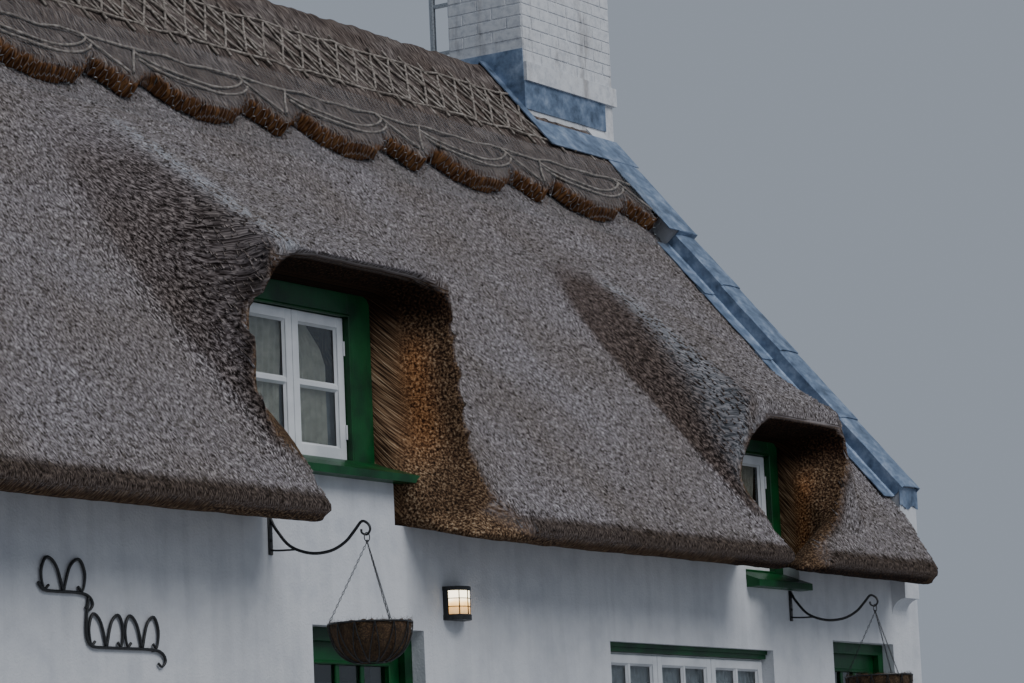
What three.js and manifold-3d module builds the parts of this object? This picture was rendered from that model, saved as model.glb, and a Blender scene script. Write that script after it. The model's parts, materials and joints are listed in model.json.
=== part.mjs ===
// Thatched cottage: rendered walls under a deep thatched roof with two eyebrow dormers, a scalloped
// ridge, a brick chimney and a lead-coped parapet on the right-hand party wall.
// Millimetres, +Z up. X runs along the front, Y from front to back, and the origin is the centre of
// the ground floor's underside.

import * as THREE from 'three';
import { mergeVertices } from 'three/addons/utils/BufferGeometryUtils.js';
import Module from 'manifold-3d';

// Driving dimensions
const houseLength = 11300;
const houseDepth = 4900;
const wallThickness = 350;
const wallHeight = 2600;
const floorTop = 60;
const upperFloorUnderside = 2200;
const upperFloorTop = 2360;
const gap = 0.3;

const roofPitch = THREE.MathUtils.degToRad(49.9);
const thatchOverWallFace = 3157;
const thatchThickness = 350;
const soffitOut = 395;
const soffitTip = 2500;

const parapetLeft = 5280;
const parapetWidth = 230;
const parapetRise = 100;
const leadThickness = 8;
const leadFlange = 135;
const copeStep = 2410;

const ridgeThickness = 130;
const scallopPitch = 1395;
const scallopPhase = 265;

const stackLeft = 4500;
const stackDepth = 600;
const stackTop = 7550;

const doorways = [
  { name: 'door_1', left: -1075, right: -105, head: 2065, hingeOnLeft: true },
  { name: 'door_2', left: 4425, right: 5262, head: 2155, hingeOnLeft: false },
];
const dormers = [
  {
    name: 'dormer_1', left: -1520, right: -330, sill: 2900, head: 3800, lights: 2,
    board: { left: -1395, right: -110 },
    hood: { crest: -840, top: 3907, tail: 1550, flat: [742, 743], reach: [897, 1030], tailReach: 1330 },
    mouth: [
      { out: -110, left: -1520, right: -330, top: 3800, radii: [40, 40],
        feet: [-1520, -330], toes: [-1480, -345] },
      { out: 200, left: -1672, right: -6, top: 3881, radii: [452, 407],
        feet: [-1685, 135], toes: [-1420, -240] },
      { out: 520, left: -2131, right: 328, top: 4019, radii: [525, 343],
        feet: [-1677, 398], toes: [-1530, -170] },
    ],
  },
  {
    name: 'dormer_2', left: 3350, right: 4030, sill: 2530, head: 3380, lights: 1,
    board: { left: 3352, right: 4028 },
    hood: { crest: 3680, top: 3480, tail: 1300, flat: [480, 500], reach: [740, 780], tailReach: 1080 },
    mouth: [
      { out: -110, left: 3350, right: 4030, top: 3380, radii: [40, 40],
        feet: [3350, 4030], toes: [3350, 4030] },
      { out: 220, left: 3020, right: 4350, top: 3470, radii: [290, 160],
        feet: [2990, 4150], toes: [3131, 3800] },
      { out: 520, left: 2720, right: 4560, top: 3600, radii: [330, 200],
        feet: [2700, 4330], toes: [3131, 3590] },
    ],
  },
];
const groundWindows = [
  { name: 'front_window', left: 1740, right: 3640, sill: 950, head: 2070, lights: 3 },
  { name: 'left_window', left: -4950, right: -3680, sill: 950, head: 2070, lights: 2 },
];
const rearWindow = { name: 'rear_window', left: 1000, right: 2770, sill: 950, head: 2020, lights: 3 };
const mouthPlane = 220;
const dormerFrameSet = 110;

const front = -houseDepth / 2;
const back = houseDepth / 2;
const leftEnd = -houseLength / 2;
const rightEnd = houseLength / 2;
const cosPitch = Math.cos(roofPitch);
const sinPitch = Math.sin(roofPitch);
const slope = Math.tan(roofPitch);

// Materials
const paint = (name, colour, roughness = 0.8, metalness = 0) =>
  new THREE.MeshStandardMaterial({ name, color: colour, roughness, metalness });
const limeRender = () => paint('lime_render', 0xcdd0d6, 0.92);
const thatch = () => paint('thatch', 0x6b6058, 1);
const ridgeStraw = () => paint('ridge_thatch', 0x7a6b5c, 1);
const lead = () => paint('lead', 0x77828f, 0.55, 0.6);
const whiteBrick = () => paint('painted_brick', 0xd6d7da, 0.85);
const clay = () => paint('clay_pot', 0xa5603f, 0.8);
const greenPaint = () => paint('green_paint', 0x0f5a33, 0.4);
const whitePaint = () => paint('white_paint', 0xdfe2e6, 0.45);
const glass = () => paint('glass', 0x2c3338, 0.08);
const iron = () => paint('black_iron', 0x15161a, 0.5, 0.7);
const galvanised = () => paint('galvanised_steel', 0x9a9da0, 0.45, 0.8);
const coir = () => paint('coir', 0x4d3b2c, 1);
const oakBoards = () => paint('floor_boards', 0x6f5a45, 0.7);
const screed = () => paint('floor_screed', 0x8b8a86, 0.9);

// Solids: closed meshes are joined and cut as manifolds
const wasm = await Module();
wasm.setup();

function toSolid(geometry) {
  const bare = geometry.clone();
  for (const key of Object.keys(bare.attributes)) {
    if (key !== 'position') bare.deleteAttribute(key);
  }
  const merged = mergeVertices(bare, 0.001);
  return new wasm.Manifold(new wasm.Mesh({
    numProp: 3,
    vertProperties: new Float32Array(merged.attributes.position.array),
    triVerts: new Uint32Array(merged.index.array),
  }));
}

function toGeometry(solid) {
  const mesh = solid.getMesh();
  const geometry = new THREE.BufferGeometry();
  geometry.setAttribute('position', new THREE.BufferAttribute(new Float32Array(mesh.vertProperties), 3));
  geometry.setIndex(new THREE.BufferAttribute(new Uint32Array(mesh.triVerts), 1));
  geometry.computeVertexNormals();
  return geometry;
}

const join = (first, ...rest) => rest.reduce((solid, next) => solid.add(next), first);
const cut = (first, ...rest) => rest.reduce((solid, next) => solid.subtract(next), first);

function box(x0, x1, y0, y1, z0, z1) {
  const geometry = new THREE.BoxGeometry(x1 - x0, y1 - y0, z1 - z0);
  geometry.translate((x0 + x1) / 2, (y0 + y1) / 2, (z0 + z1) / 2);
  return toSolid(geometry);
}

// A closed solid through rings of equal point count, each ring a list of [x, y, z]
function loft(rings) {
  const count = rings[0].length;
  const positions = rings.flat(2);
  const index = [];
  for (let r = 0; r + 1 < rings.length; r += 1) {
    for (let p = 0; p < count; p += 1) {
      const a = r * count + p;
      const b = r * count + ((p + 1) % count);
      index.push(a, b, b + count, a, b + count, a + count);
    }
  }
  const capAxes = capPlane(rings[0]);
  const clockwise = THREE.ShapeUtils.isClockWise(capOutline(rings[0], capAxes));
  for (const [ring, start, last] of [[rings[0], 0, false], [rings.at(-1), (rings.length - 1) * count, true]]) {
    const outline = capOutline(ring, capAxes);
    if (clockwise) outline.reverse();
    for (const corners of THREE.ShapeUtils.triangulateShape(outline, [])) {
      const [i, j, k] = corners.map((corner) => start + (clockwise ? count - 1 - corner : corner));
      index.push(...(clockwise === last ? [i, k, j] : [i, j, k]));
    }
  }
  const geometry = new THREE.BufferGeometry();
  geometry.setAttribute('position', new THREE.Float32BufferAttribute(positions, 3));
  geometry.setIndex(index);
  const solid = toSolid(geometry);
  return solid.volume() > 0 ? solid : toSolid(flipped(geometry));
}

// A ring's outline in its own plane, with a hair of unevenness that keeps the points on its straight
// edges in the cap
const capUnevenness = 0.01;
const capOutline = (ring, [across, along]) => ring.map((point, i) =>
  new THREE.Vector2(point[across], point[along] + capUnevenness * Math.sin(i * 2.4)));

// The two axes that a flat ring spans
function capPlane(ring) {
  const span = [0, 1, 2].map((axis) => {
    const values = ring.map((point) => point[axis]);
    return Math.max(...values) - Math.min(...values);
  });
  const thin = span.indexOf(Math.min(...span));
  return [0, 1, 2].filter((axis) => axis !== thin);
}

function flipped(geometry) {
  const copy = geometry.clone();
  const index = copy.index.array;
  for (let i = 0; i < index.length; i += 3) {
    [index[i + 1], index[i + 2]] = [index[i + 2], index[i + 1]];
  }
  return copy;
}

const prismX = (outline, x0, x1) =>
  loft([x0, x1].map((x) => outline.map(([y, z]) => [x, y, z])));
const prismY = (outline, y0, y1) =>
  loft([y0, y1].map((y) => outline.map(([x, z]) => [x, y, z])));
const prismZ = (outline, z0, z1) =>
  loft([z0, z1].map((z) => outline.map(([x, y]) => [x, y, z])));

const mirrorToRear = (solid) => solid.mirror([0, 1, 0]);

const cottage = new THREE.Group();

function add(name, shape, material) {
  const geometry = shape.isBufferGeometry ? shape : toGeometry(shape);
  const mesh = new THREE.Mesh(geometry, material);
  mesh.name = name;
  cottage.add(mesh);
  return mesh;
}

// Roof lines. Along the front slope, run is measured up the slope from above the wall's outer face
// and rise is square to the slope.
const slopePoint = (run, rise) => [
  front + run * cosPitch - rise * sinPitch,
  thatchOverWallFace + run * sinPitch + rise * cosPitch,
];
const surfaceZ = (y, rise = 0) => thatchOverWallFace + rise / cosPitch + slope * (y - front);
const ridgeRun = houseDepth / 2 / cosPitch;

// Arcs as lists of points, angles in degrees
function arc(cx, cz, radius, from, to, steps) {
  return Array.from({ length: steps + 1 }, (_, i) => {
    const angle = THREE.MathUtils.degToRad(from + ((to - from) * i) / steps);
    return [cx + radius * Math.cos(angle), cz + radius * Math.sin(angle)];
  });
}

// An eyebrow hood rises from the slope as a broad fan, steep and flat-topped at its mouth.
// The height is plumb, at a distance behind the wall's outer face.
const smooth = (t) => t * t * (3 - 2 * t);
const clamp = THREE.MathUtils.clamp;
const hoodBrow = 120;

function hoodHeight(x, behind) {
  let height = 0;
  for (const { hood } of dormers) {
    const full = hood.top - surfaceZ(front - mouthPlane);
    const along = clamp((behind + mouthPlane) / (hood.tail + mouthPlane), 0, 1);
    const brow = smooth(clamp(1 + (behind + mouthPlane) / hoodBrow, 0, 1));
    const side = x < hood.crest ? 0 : 1;
    const flat = hood.flat[side] * (1 - along);
    const reach = THREE.MathUtils.lerp(hood.reach[side], hood.tailReach, along);
    const across = smooth(clamp((reach - Math.abs(x - hood.crest)) / (reach - flat), 0, 1));
    height = Math.max(height, full * (1 - along) * brow * across);
  }
  return height;
}

const eavesTip = { behind: -497, z: 2567 };
const coatSteps = [-400, -345, -300, -262, -mouthPlane, -170, -110, -40, 50, 170, 330, 540, 820, 1150, 1550, 2050];
function thatchRing(x) {
  const top = coatSteps.map((behind) => [front + behind, surfaceZ(front + behind) + hoodHeight(x, behind)]);
  const underside = [
    [0, surfaceZ(0)],
    [0, surfaceZ(0, -thatchThickness)],
    [front + wallThickness, surfaceZ(front + wallThickness, -thatchThickness)],
    [front + wallThickness, wallHeight + gap],
    [front, wallHeight + gap],
    [front - soffitOut, soffitTip],
  ];
  return [[front + eavesTip.behind, eavesTip.z], ...top, ...underside].map(([y, z]) => [x, Math.min(y, -gap), z]);
}

function stations(from, to) {
  const marks = new Set([from, to]);
  for (const { hood } of dormers) {
    for (const side of [0, 1]) {
      const way = side ? 1 : -1;
      const steps = 9;
      for (let i = 0; i <= steps; i += 1) {
        const reach = THREE.MathUtils.lerp(hood.flat[side] * 0.55, hood.reach[side] + 20, i / steps);
        marks.add(hood.crest + way * reach);
      }
      marks.add(hood.crest + way * (hood.tailReach - 60));
    }
    marks.add(hood.crest);
  }
  return [...marks].filter((x) => x >= from && x <= to).sort((a, b) => a - b);
}

// The mouth of a dormer widens from its window frame to the hood's edge, and narrows at its foot
const mouthFloor = 2300;
function mouthRing({ out, left, right, top, radii, feet, toes }) {
  const kneeZ = surfaceZ(front - out) + 10;
  const outline = [
    [toes[0], mouthFloor], [toes[1], mouthFloor], [toes[1], Math.min(2560, kneeZ - 60)],
    [feet[1], kneeZ - 20],
    ...arc(right - radii[1], top - radii[1], radii[1], 0, 90, 6),
    ...arc(left + radii[0], top - radii[0], radii[0], 90, 180, 6),
    [feet[0], Math.min(kneeZ + 120, top - radii[0] - 10)], [toes[0], kneeZ],
  ];
  return outline.map(([x, z]) => [x, front - out, z]);
}

// A sill board's weathered nose in front of the wall, with `room` round it where it is a cutter
const noseOut = 90;
const noseFall = 34;
const boardTop = (dormer) => dormer.sill - 11;
function sillNose(dormer, room = 0) {
  const { sill, board } = dormer;
  const back = front - gap + 2 * room;
  const outline = [
    [back, boardTop(dormer) + room], [front - noseOut - room, boardTop(dormer) - noseFall + room],
    [front - noseOut - room, sill - 85 - room], [back, sill - 85 - room],
  ];
  return prismX(outline, board.left - room, board.right + room);
}

function dormerOpening(dormer) {
  const mouth = loft(dormer.mouth.map(mouthRing));
  const tunnel = box(dormer.left - gap, dormer.right + gap, front - 1 - gap, front + 1200,
    wallHeight - 200, dormer.head + gap);
  return join(mouth, tunnel, sillNose(dormer, gap));
}

// Beyond the corbel the eaves are dressed back from the party line
const eavesDress = { from: 170, inset: 290 };
function frontThatch() {
  const end = parapetLeft - gap;
  const coat = loft(stations(leftEnd, end).map(thatchRing));
  const stack = box(stackLeft - gap, rightEnd, -stackDepth / 2 - gap, 1, 4000, 8000);
  const tip = front + eavesTip.behind - 1;
  const wedge = prismZ([[end + 1, front - eavesDress.from], [end + 1, tip], [end - eavesDress.inset, tip]],
    2000, 4000);
  return cut(coat, ...dormers.map(dormerOpening), stack, wedge);
}

const thatchFront = frontThatch();
add('thatch_front', thatchFront, thatch());
add('thatch_rear', mirrorToRear(thatchFront), thatch());

// Block-cut ridge with round scallops and points between them
function skirtOutline() {
  const low = 2480;
  const high = 2720;
  const points = [];
  const first = Math.ceil((leftEnd - scallopPhase) / scallopPitch) - 1;
  for (let n = first; ; n += 1) {
    const centre = scallopPhase + n * scallopPitch;
    if (centre - scallopPitch > parapetLeft) break;
    for (let i = 0; i <= 6; i += 1) {
      const angle = Math.PI * (i / 6);
      points.push([centre - 400 * Math.cos(angle), high - (high - low) * Math.sin(angle) ** 0.8]);
    }
    points.push([centre + scallopPitch / 2, low + 10]);
  }
  return [[points[0][0], ridgeRun + 400], ...points, [points.at(-1)[0], ridgeRun + 400]];
}

function ridgeCap() {
  const thick = ridgeThickness;
  const outline = skirtOutline();
  const layer = (rise) => outline.map(([x, run]) => [x, ...slopePoint(run, rise)]);
  const skirt = loft([layer(gap), layer(thick)]);
  const half = box(leftEnd, parapetLeft - gap, front - 600, 0, 4000, surfaceZ(0, thick) - 25);
  const side = skirt.intersect(half);
  const stack = box(stackLeft - gap, rightEnd, -stackDepth / 2 - gap, stackDepth / 2 + gap, 4000, 8000);
  return cut(join(side, mirrorToRear(side)), stack);
}

add('ridge_cap', ridgeCap(), ridgeStraw());

// Party walls follow the underside of the thatch; the right one rises through it as a parapet
function gableHalf(inset) {
  return [
    [front, 0], [front, wallHeight], [front + wallThickness + gap, wallHeight],
    [front + wallThickness + gap, surfaceZ(front + wallThickness, -thatchThickness) - inset],
    [0, surfaceZ(0, -thatchThickness) - inset],
  ];
}
const bothHalves = (half) => [...half, ...half.slice(0, -1).reverse().map(([y, z]) => [-y, z])];

add('left_party_wall', prismX(bothHalves(gableHalf(2 * gap)), leftEnd, leftEnd + wallThickness), limeRender());

const breastTop = 5160;
const corbelOut = 100;
const corbelTop = 2560;
function rightPartyWall() {
  const upstand = [
    [front, 0], [front, corbelTop], [front - corbelOut, corbelTop],
    [front - corbelOut, surfaceZ(front - corbelOut, parapetRise)], slopePoint(copeStep, parapetRise),
    slopePoint(copeStep, ridgeThickness), [0, surfaceZ(0, ridgeThickness)],
  ];
  const raised = prismX(bothHalves(upstand), parapetLeft, parapetLeft + parapetWidth);
  const shoulder = prismX(bothHalves(gableHalf(0)), parapetLeft + parapetWidth - 1, rightEnd);
  const nib = box(doorways[1].right, parapetLeft + 1, front, front + wallThickness, 0, wallHeight);
  const seat = box(stackLeft, rightEnd + 1, -stackDepth / 2 - gap, stackDepth / 2 + gap, breastTop, 8000);
  return cut(join(raised, shoulder, nib), seat);
}
add('right_party_wall', rightPartyWall(), limeRender());

function corbel() {
  const outline = [
    [front - gap, corbelTop - 210], ...arc(front - corbelOut - gap, corbelTop - 210, corbelOut, 0, 90, 6).slice(1),
    [front - corbelOut - gap, corbelTop - gap], [front - gap, corbelTop - gap],
  ];
  return prismX(outline, parapetLeft, parapetLeft + 200);
}
add('parapet_corbel', corbel(), limeRender());

// Front and rear walls
const insideLeft = leftEnd + wallThickness + gap;
const insideRight = parapetLeft - gap;

function wallOutline(x0, x1, base, raised) {
  const points = [[x0, base], [x1, base], [x1, wallHeight]];
  for (const dormer of [...raised].sort((a, b) => b.left - a.left)) {
    const a = Math.max(x0, dormer.left);
    const b = Math.min(x1, dormer.right);
    if (a >= b) continue;
    const sillZ = dormer.sill - 40;
    if (b < x1) points.push([b, wallHeight]);
    else points.pop();
    points.push([b, sillZ], [a, sillZ]);
    if (a > x0) points.push([a, wallHeight]);
  }
  if (points.at(-1)[0] > x0) points.push([x0, wallHeight]);
  return points;
}

function wallPiece(x0, x1, base, openings = []) {
  const plain = prismY(wallOutline(x0, x1, base, dormers), front, front + wallThickness);
  return cut(plain, ...openings.map((o) =>
    box(o.left, o.right, front - 1, front + wallThickness + 1, o.sill, o.head)));
}

const [doorA, doorB] = doorways;
add('front_wall_left', wallPiece(insideLeft, doorA.left, 0, [groundWindows[1]]), limeRender());
add('front_wall_over_door_1', wallPiece(doorA.left + gap, doorA.right - gap, doorA.head), limeRender());
add('front_wall_middle', wallPiece(doorA.right, doorB.left, 0, [groundWindows[0]]), limeRender());
add('front_wall_over_door_2', wallPiece(doorB.left + gap, doorB.right - gap, doorB.head), limeRender());
add('rear_wall', mirrorToRear(wallPiece(insideLeft, insideRight, 0, [rearWindow])), limeRender());

// Floors
function groundFloor() {
  const slab = box(insideLeft, insideRight, front + wallThickness + gap, back - wallThickness - gap, 0, floorTop);
  const sills = doorways.map((d) =>
    box(d.left + gap, d.right - gap, front, front + wallThickness + 1, 0, floorTop));
  return join(slab, ...sills);
}
add('ground_floor', groundFloor(), screed());

function upperFloor() {
  const boards = box(insideLeft, insideRight, front + wallThickness + gap, back - wallThickness - gap,
    upperFloorUnderside, upperFloorTop);
  const breast = box(stackLeft - gap, rightEnd, -stackDepth / 2 - gap, stackDepth / 2 + gap, 0, 4000);
  return cut(boards, breast);
}
add('upper_floor', upperFloor(), oakBoards());

// Chimney
const stackBody = join(
  box(stackLeft, parapetLeft - gap, -stackDepth / 2, stackDepth / 2, floorTop + gap, breastTop + 1),
  box(stackLeft, rightEnd, -stackDepth / 2, stackDepth / 2, breastTop + gap, stackTop - 150),
  box(stackLeft - 40, rightEnd + 40, -stackDepth / 2 - 40, stackDepth / 2 + 40, stackTop - 150, stackTop),
);
add('chimney_stack', stackBody, whiteBrick());

const bandBottom = 6120;
const bandOut = 25;
const dripBand = cut(
  box(stackLeft, rightEnd + bandOut, -stackDepth / 2 - bandOut, stackDepth / 2 + bandOut,
    bandBottom, bandBottom + 130),
  box(stackLeft - 1, rightEnd + gap, -stackDepth / 2 - gap, stackDepth / 2 + gap,
    bandBottom - 1, bandBottom + 131),
);
add('chimney_drip_band', dripBand, whiteBrick());

function chimneyPots() {
  const bed = 70;
  const centreX = (stackLeft + rightEnd) / 2;
  const base = box(stackLeft + 40, rightEnd - 40, -stackDepth / 2 + 60, stackDepth / 2 - 60, stackTop + gap, stackTop + bed);
  const profile = [[0, 0], [150, 0], [150, 60], [125, 80], [115, 330], [140, 350], [140, 400], [112, 400],
    [95, 120], [0, 120]];
  const pot = new THREE.LatheGeometry(profile.map(([r, z]) => new THREE.Vector2(r, z)), 20);
  pot.rotateX(Math.PI / 2);
  const solid = toSolid(pot);
  const upright = solid.volume() > 0 ? solid : toSolid(flipped(pot.toNonIndexed()));
  return join(base, ...[-1, 1].map((side) => upright.translate([centreX + side * 270, 0, stackTop + bed - 5])));
}
add('chimney_pots', chimneyPots(), clay());

// Lead: a cope over the parapet with a flange on the thatch, and a flashing round the stack
const apronRun = 230;
function slopeStrip(x0, x1, runFrom, runTo, riseFrom, riseTo) {
  const corners = [[runFrom, riseFrom], [runTo, riseFrom], [runTo, riseTo], [runFrom, riseTo]];
  return prismX(corners.map(([run, rise]) => slopePoint(run, rise)), x0, x1);
}

function frontCope() {
  const parapetRight = parapetLeft + parapetWidth;
  const noseY = front - corbelOut - gap;
  const foot = (noseY - front - leadThickness) / cosPitch;
  const top = parapetRise + leadThickness;
  const upper = ridgeThickness + leadThickness;
  const stackRun = (houseDepth / 2 - stackDepth / 2) / cosPitch;
  const end = stackRun - apronRun;
  const sideDrop = 60;
  const parts = [
    slopeStrip(parapetLeft - leadFlange, parapetLeft - gap, -120, copeStep - 10, gap, leadThickness),
    slopeStrip(parapetLeft - leadThickness, parapetLeft - gap, -120, copeStep, gap, top),
    slopeStrip(parapetLeft - leadThickness, parapetRight + leadThickness, -60, copeStep - gap,
      parapetRise + gap, top),
    slopeStrip(parapetRight + gap, parapetRight + leadThickness, -60, copeStep + 20,
      parapetRise - sideDrop, top),
    slopeStrip(parapetLeft - leadThickness, parapetRight + leadThickness, copeStep - leadThickness - gap,
      copeStep - gap, parapetRise + gap, upper),
    slopeStrip(parapetLeft - leadFlange, parapetRight + leadThickness, copeStep - leadThickness, end,
      ridgeThickness + gap, upper),
    slopeStrip(parapetRight + gap, parapetRight + leadThickness, copeStep - 20, end,
      ridgeThickness - sideDrop, upper),
    box(parapetLeft - leadThickness, parapetRight + leadThickness, noseY - leadThickness, noseY,
      3050, surfaceZ(noseY, parapetRise)),
    slopeStrip(parapetLeft - leadThickness, parapetRight + leadThickness, foot, -50,
      parapetRise + gap, top),
  ];
  const clear = box(4000, 6000, front - 1200, noseY - leadThickness, 2000, 4000);
  return cut(join(...parts), clear);
}
const leadCope = frontCope();
add('lead_cope_front', leadCope, lead());
add('lead_cope_rear', mirrorToRear(leadCope), lead());

function chimneyFlashing() {
  const under = ridgeThickness + leadThickness + gap;
  const over = under + leadThickness;
  const stackRun = (houseDepth / 2 - stackDepth / 2) / cosPitch;
  const faceY = -stackDepth / 2 - gap;
  const apron = join(
    slopeStrip(stackLeft - 90, rightEnd - 110, stackRun - apronRun, stackRun + 40, under, over),
    box(stackLeft - leadThickness, rightEnd - 110, faceY - leadThickness, faceY,
      surfaceZ(faceY, under), bandBottom - gap),
  );
  const tidyApron = cut(apron, box(stackLeft - gap, rightEnd, faceY, 0, 4000, 8000));
  const sideTop = 6345;
  const sideOutline = [
    [faceY - leadThickness, surfaceZ(faceY - leadThickness, under)], [faceY - leadThickness, bandBottom - gap],
    [-stackDepth / 2, bandBottom - gap], [-stackDepth / 2, sideTop], [stackDepth / 2, sideTop],
    [stackDepth / 2, bandBottom - gap], [-faceY + leadThickness, bandBottom - gap],
    [-faceY + leadThickness, surfaceZ(faceY - leadThickness, under)], [0, surfaceZ(0, under)],
  ];
  const side = prismX(sideOutline, stackLeft - leadThickness - gap, stackLeft - gap);
  const saddle = slopeStrip(stackLeft - 90, stackLeft - gap, stackRun, ridgeRun + 300, under, over)
    .intersect(box(0, 6000, -2000, 0, 4000, 8000));
  return join(tidyApron, mirrorToRear(tidyApron), saddle, mirrorToRear(saddle), side);
}
add('chimney_flashing', chimneyFlashing(), lead());

// Aerial mast on two brackets behind the stack
function aerialMast() {
  const x = stackLeft + 60;
  const y = stackDepth / 2 + 170;
  const pole = new THREE.CylinderGeometry(22, 22, 2200, 12);
  pole.rotateX(Math.PI / 2);
  pole.translate(x, y, 6150 + 1100);
  const arms = [6420, 6760].map((z) => box(x - 12, x + 12, stackDepth / 2 + gap, y, z, z + 25));
  const plates = [6420, 6760].map((z) =>
    box(x - 40, x + 40, stackDepth / 2 + gap, stackDepth / 2 + 6, z - 30, z + 55));
  return join(toSolid(pole), ...arms, ...plates);
}
add('aerial_mast', aerialMast(), galvanised());

// Doors
const frameFace = 80;
const frameDepth = 85;
const stopDepth = 35;
const jamb = 54;
const leafClearance = 5;
const leafThickness = 45;
const knuckleRadius = 7;
const hingeHeights = [330, 1650];

function doorFrame(door) {
  const { left, right, head } = door;
  const y0 = front + frameFace;
  const y1 = y0 + frameDepth;
  const outer = box(left + gap, right - gap, y0, y1, floorTop + gap, head - gap);
  const rebate = box(left + jamb, right - jamb, y0 + stopDepth, y1 + 1, 0, head - jamb);
  const throat = box(left + jamb + 14, right - jamb - 14, y0 - 1, y1 + 1, 0, head - jamb - 14);
  return cut(outer, rebate, throat);
}

function hingeSide(door) {
  const edge = door.hingeOnLeft ? door.left + jamb : door.right - jamb;
  const inward = door.hingeOnLeft ? 1 : -1;
  return {
    x: edge + (inward * leafClearance) / 2,
    y: front + frameFace + frameDepth + knuckleRadius + 1,
    inward,
  };
}

function knuckle(axis, z0, z1) {
  const geometry = new THREE.CylinderGeometry(knuckleRadius, knuckleRadius, z1 - z0, 12);
  geometry.rotateX(Math.PI / 2);
  geometry.translate(axis.x, axis.y, (z0 + z1) / 2);
  return toSolid(geometry);
}

function strap(axis, direction, z0, z1) {
  const reach = axis.x + direction * 38;
  const y0 = axis.y - knuckleRadius - 2;
  return box(Math.min(axis.x, reach), Math.max(axis.x, reach), y0, axis.y, z0, z1);
}

const knuckleLength = 45;
for (const door of doorways) {
  const axis = hingeSide(door);
  const lower = hingeHeights.map((z) => [knuckle(axis, z, z + knuckleLength),
    strap(axis, -axis.inward, z, z + knuckleLength)]).flat();
  const upper = hingeHeights.map((z) => {
    const z0 = z + knuckleLength + gap;
    return [knuckle(axis, z0, z0 + knuckleLength), strap(axis, axis.inward, z0, z0 + knuckleLength)];
  }).flat();
  add(`${door.name}_frame`, join(doorFrame(door), ...lower), greenPaint());

  const y0 = front + frameFace + stopDepth + leafClearance;
  const y1 = y0 + leafThickness;
  const x0 = door.left + jamb + leafClearance;
  const x1 = door.right - jamb - leafClearance;
  const top = door.head - jamb - leafClearance;
  const light = { left: x0 + 105, right: x1 - 105, sill: 1080, head: top - 120 };
  const leaf = box(x0, x1, y0, y1, floorTop + 6, top);
  const hole = box(light.left, light.right, y0 - 1, y1 + 1, light.sill, light.head);
  add(`${door.name}_leaf`, join(cut(leaf, hole), ...upper), greenPaint());
  const middle = (y0 + y1) / 2;
  add(`${door.name}_glass`, box(light.left + gap, light.right - gap, middle - 3, middle + 3,
    light.sill + gap, light.head - gap), glass());
}

// Windows: a frame with its casement rails, and one sheet of glass behind the rails
function windowFrame(opening, y0, depth, border, rebate = 20) {
  const { left, right, sill, head, lights } = opening;
  const outer = box(left + gap, right - gap, y0, y0 + depth, sill + gap, head - gap);
  const width = (right - left - border * (lights + 1)) / lights;
  const holes = Array.from({ length: lights }, (_, i) => {
    const x = left + border + i * (width + border);
    return box(x, x + width, y0 - 1, y0 + depth + 1, sill + border, head - border);
  });
  const recess = box(left + 40, right - 40, y0 + depth - rebate, y0 + depth + 1, sill + 40, head - 40);
  return cut(outer, ...holes, recess);
}

function windowGlass(opening, y0, depth, rebate = 20) {
  const { left, right, sill, head } = opening;
  const back = y0 + depth - rebate;
  return box(left + 40 + gap, right - 40 - gap, back + gap, back + 6, sill + 40 + gap, head - 40 - gap);
}

// A moulded board fills the top of the opening, over the casements
const headBoard = 50;
const windowSet = 75;
function windowHead({ left, right, head }) {
  const back = front + windowSet + windowDepth;
  return join(
    box(left + gap, right - gap, front + 54, back, head - headBoard, head - gap),
    box(left + gap, right - gap, front + 42, back, head - 24, head - gap),
  );
}

const windowDepth = 70;
const casementRebate = 50;
for (const opening of groundWindows) {
  const y0 = front + windowSet;
  const glazed = { ...opening, head: opening.head - headBoard };
  add(`${opening.name}_frame`, windowFrame(glazed, y0, windowDepth, 85, casementRebate), whitePaint());
  add(`${opening.name}_glass`, windowGlass(glazed, y0, windowDepth, casementRebate), glass());
  add(`${opening.name}_head`, windowHead(opening), greenPaint());
}
const rearFrame = windowFrame(rearWindow, front + windowSet, windowDepth, 85, casementRebate);
const rearGlass = windowGlass(rearWindow, front + windowSet, windowDepth, casementRebate);
add('rear_window_frame', mirrorToRear(rearFrame), whitePaint());
add('rear_window_glass', mirrorToRear(rearGlass), glass());

function sillBoard(dormer, backY) {
  const foot = dormer.sill - 40 + gap;
  const seat = [[backY, foot], [backY, dormer.sill + 30], [front - 1, boardTop(dormer)], [front - 1, foot]];
  return join(prismX(seat, dormer.left + 2, dormer.right - 2), sillNose(dormer));
}

for (const dormer of dormers) {
  const y0 = front + dormerFrameSet;
  const frame = windowFrame({ ...dormer, sill: dormer.sill - 40 }, y0, windowDepth, 105);
  const pane = windowGlass({ ...dormer, sill: dormer.sill - 40 }, y0, windowDepth);
  const sill = sillBoard(dormer, y0 - gap);
  add(`${dormer.name}_frame`, frame, greenPaint());
  add(`${dormer.name}_glass`, pane, glass());
  add(`${dormer.name}_sill`, sill, greenPaint());
  add(`rear_${dormer.name}_frame`, mirrorToRear(join(frame, sillBoard(dormer, y0 + 10))), greenPaint());
  add(`rear_${dormer.name}_glass`, mirrorToRear(pane), glass());
}

// Forged brackets with hanging baskets
const barSize = 14;
function bentBar(points, size) {
  const curve = new THREE.CatmullRomCurve3(points.map((p) => new THREE.Vector3(...p)), false, 'centripetal');
  const section = new THREE.Shape(arc(0, 0, size / 2, 0, 300, 5).map(([a, b]) => new THREE.Vector2(a, b)));
  const steps = points.length * 2;
  return toSolid(new THREE.ExtrudeGeometry(section, { steps, extrudePath: curve }));
}

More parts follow.
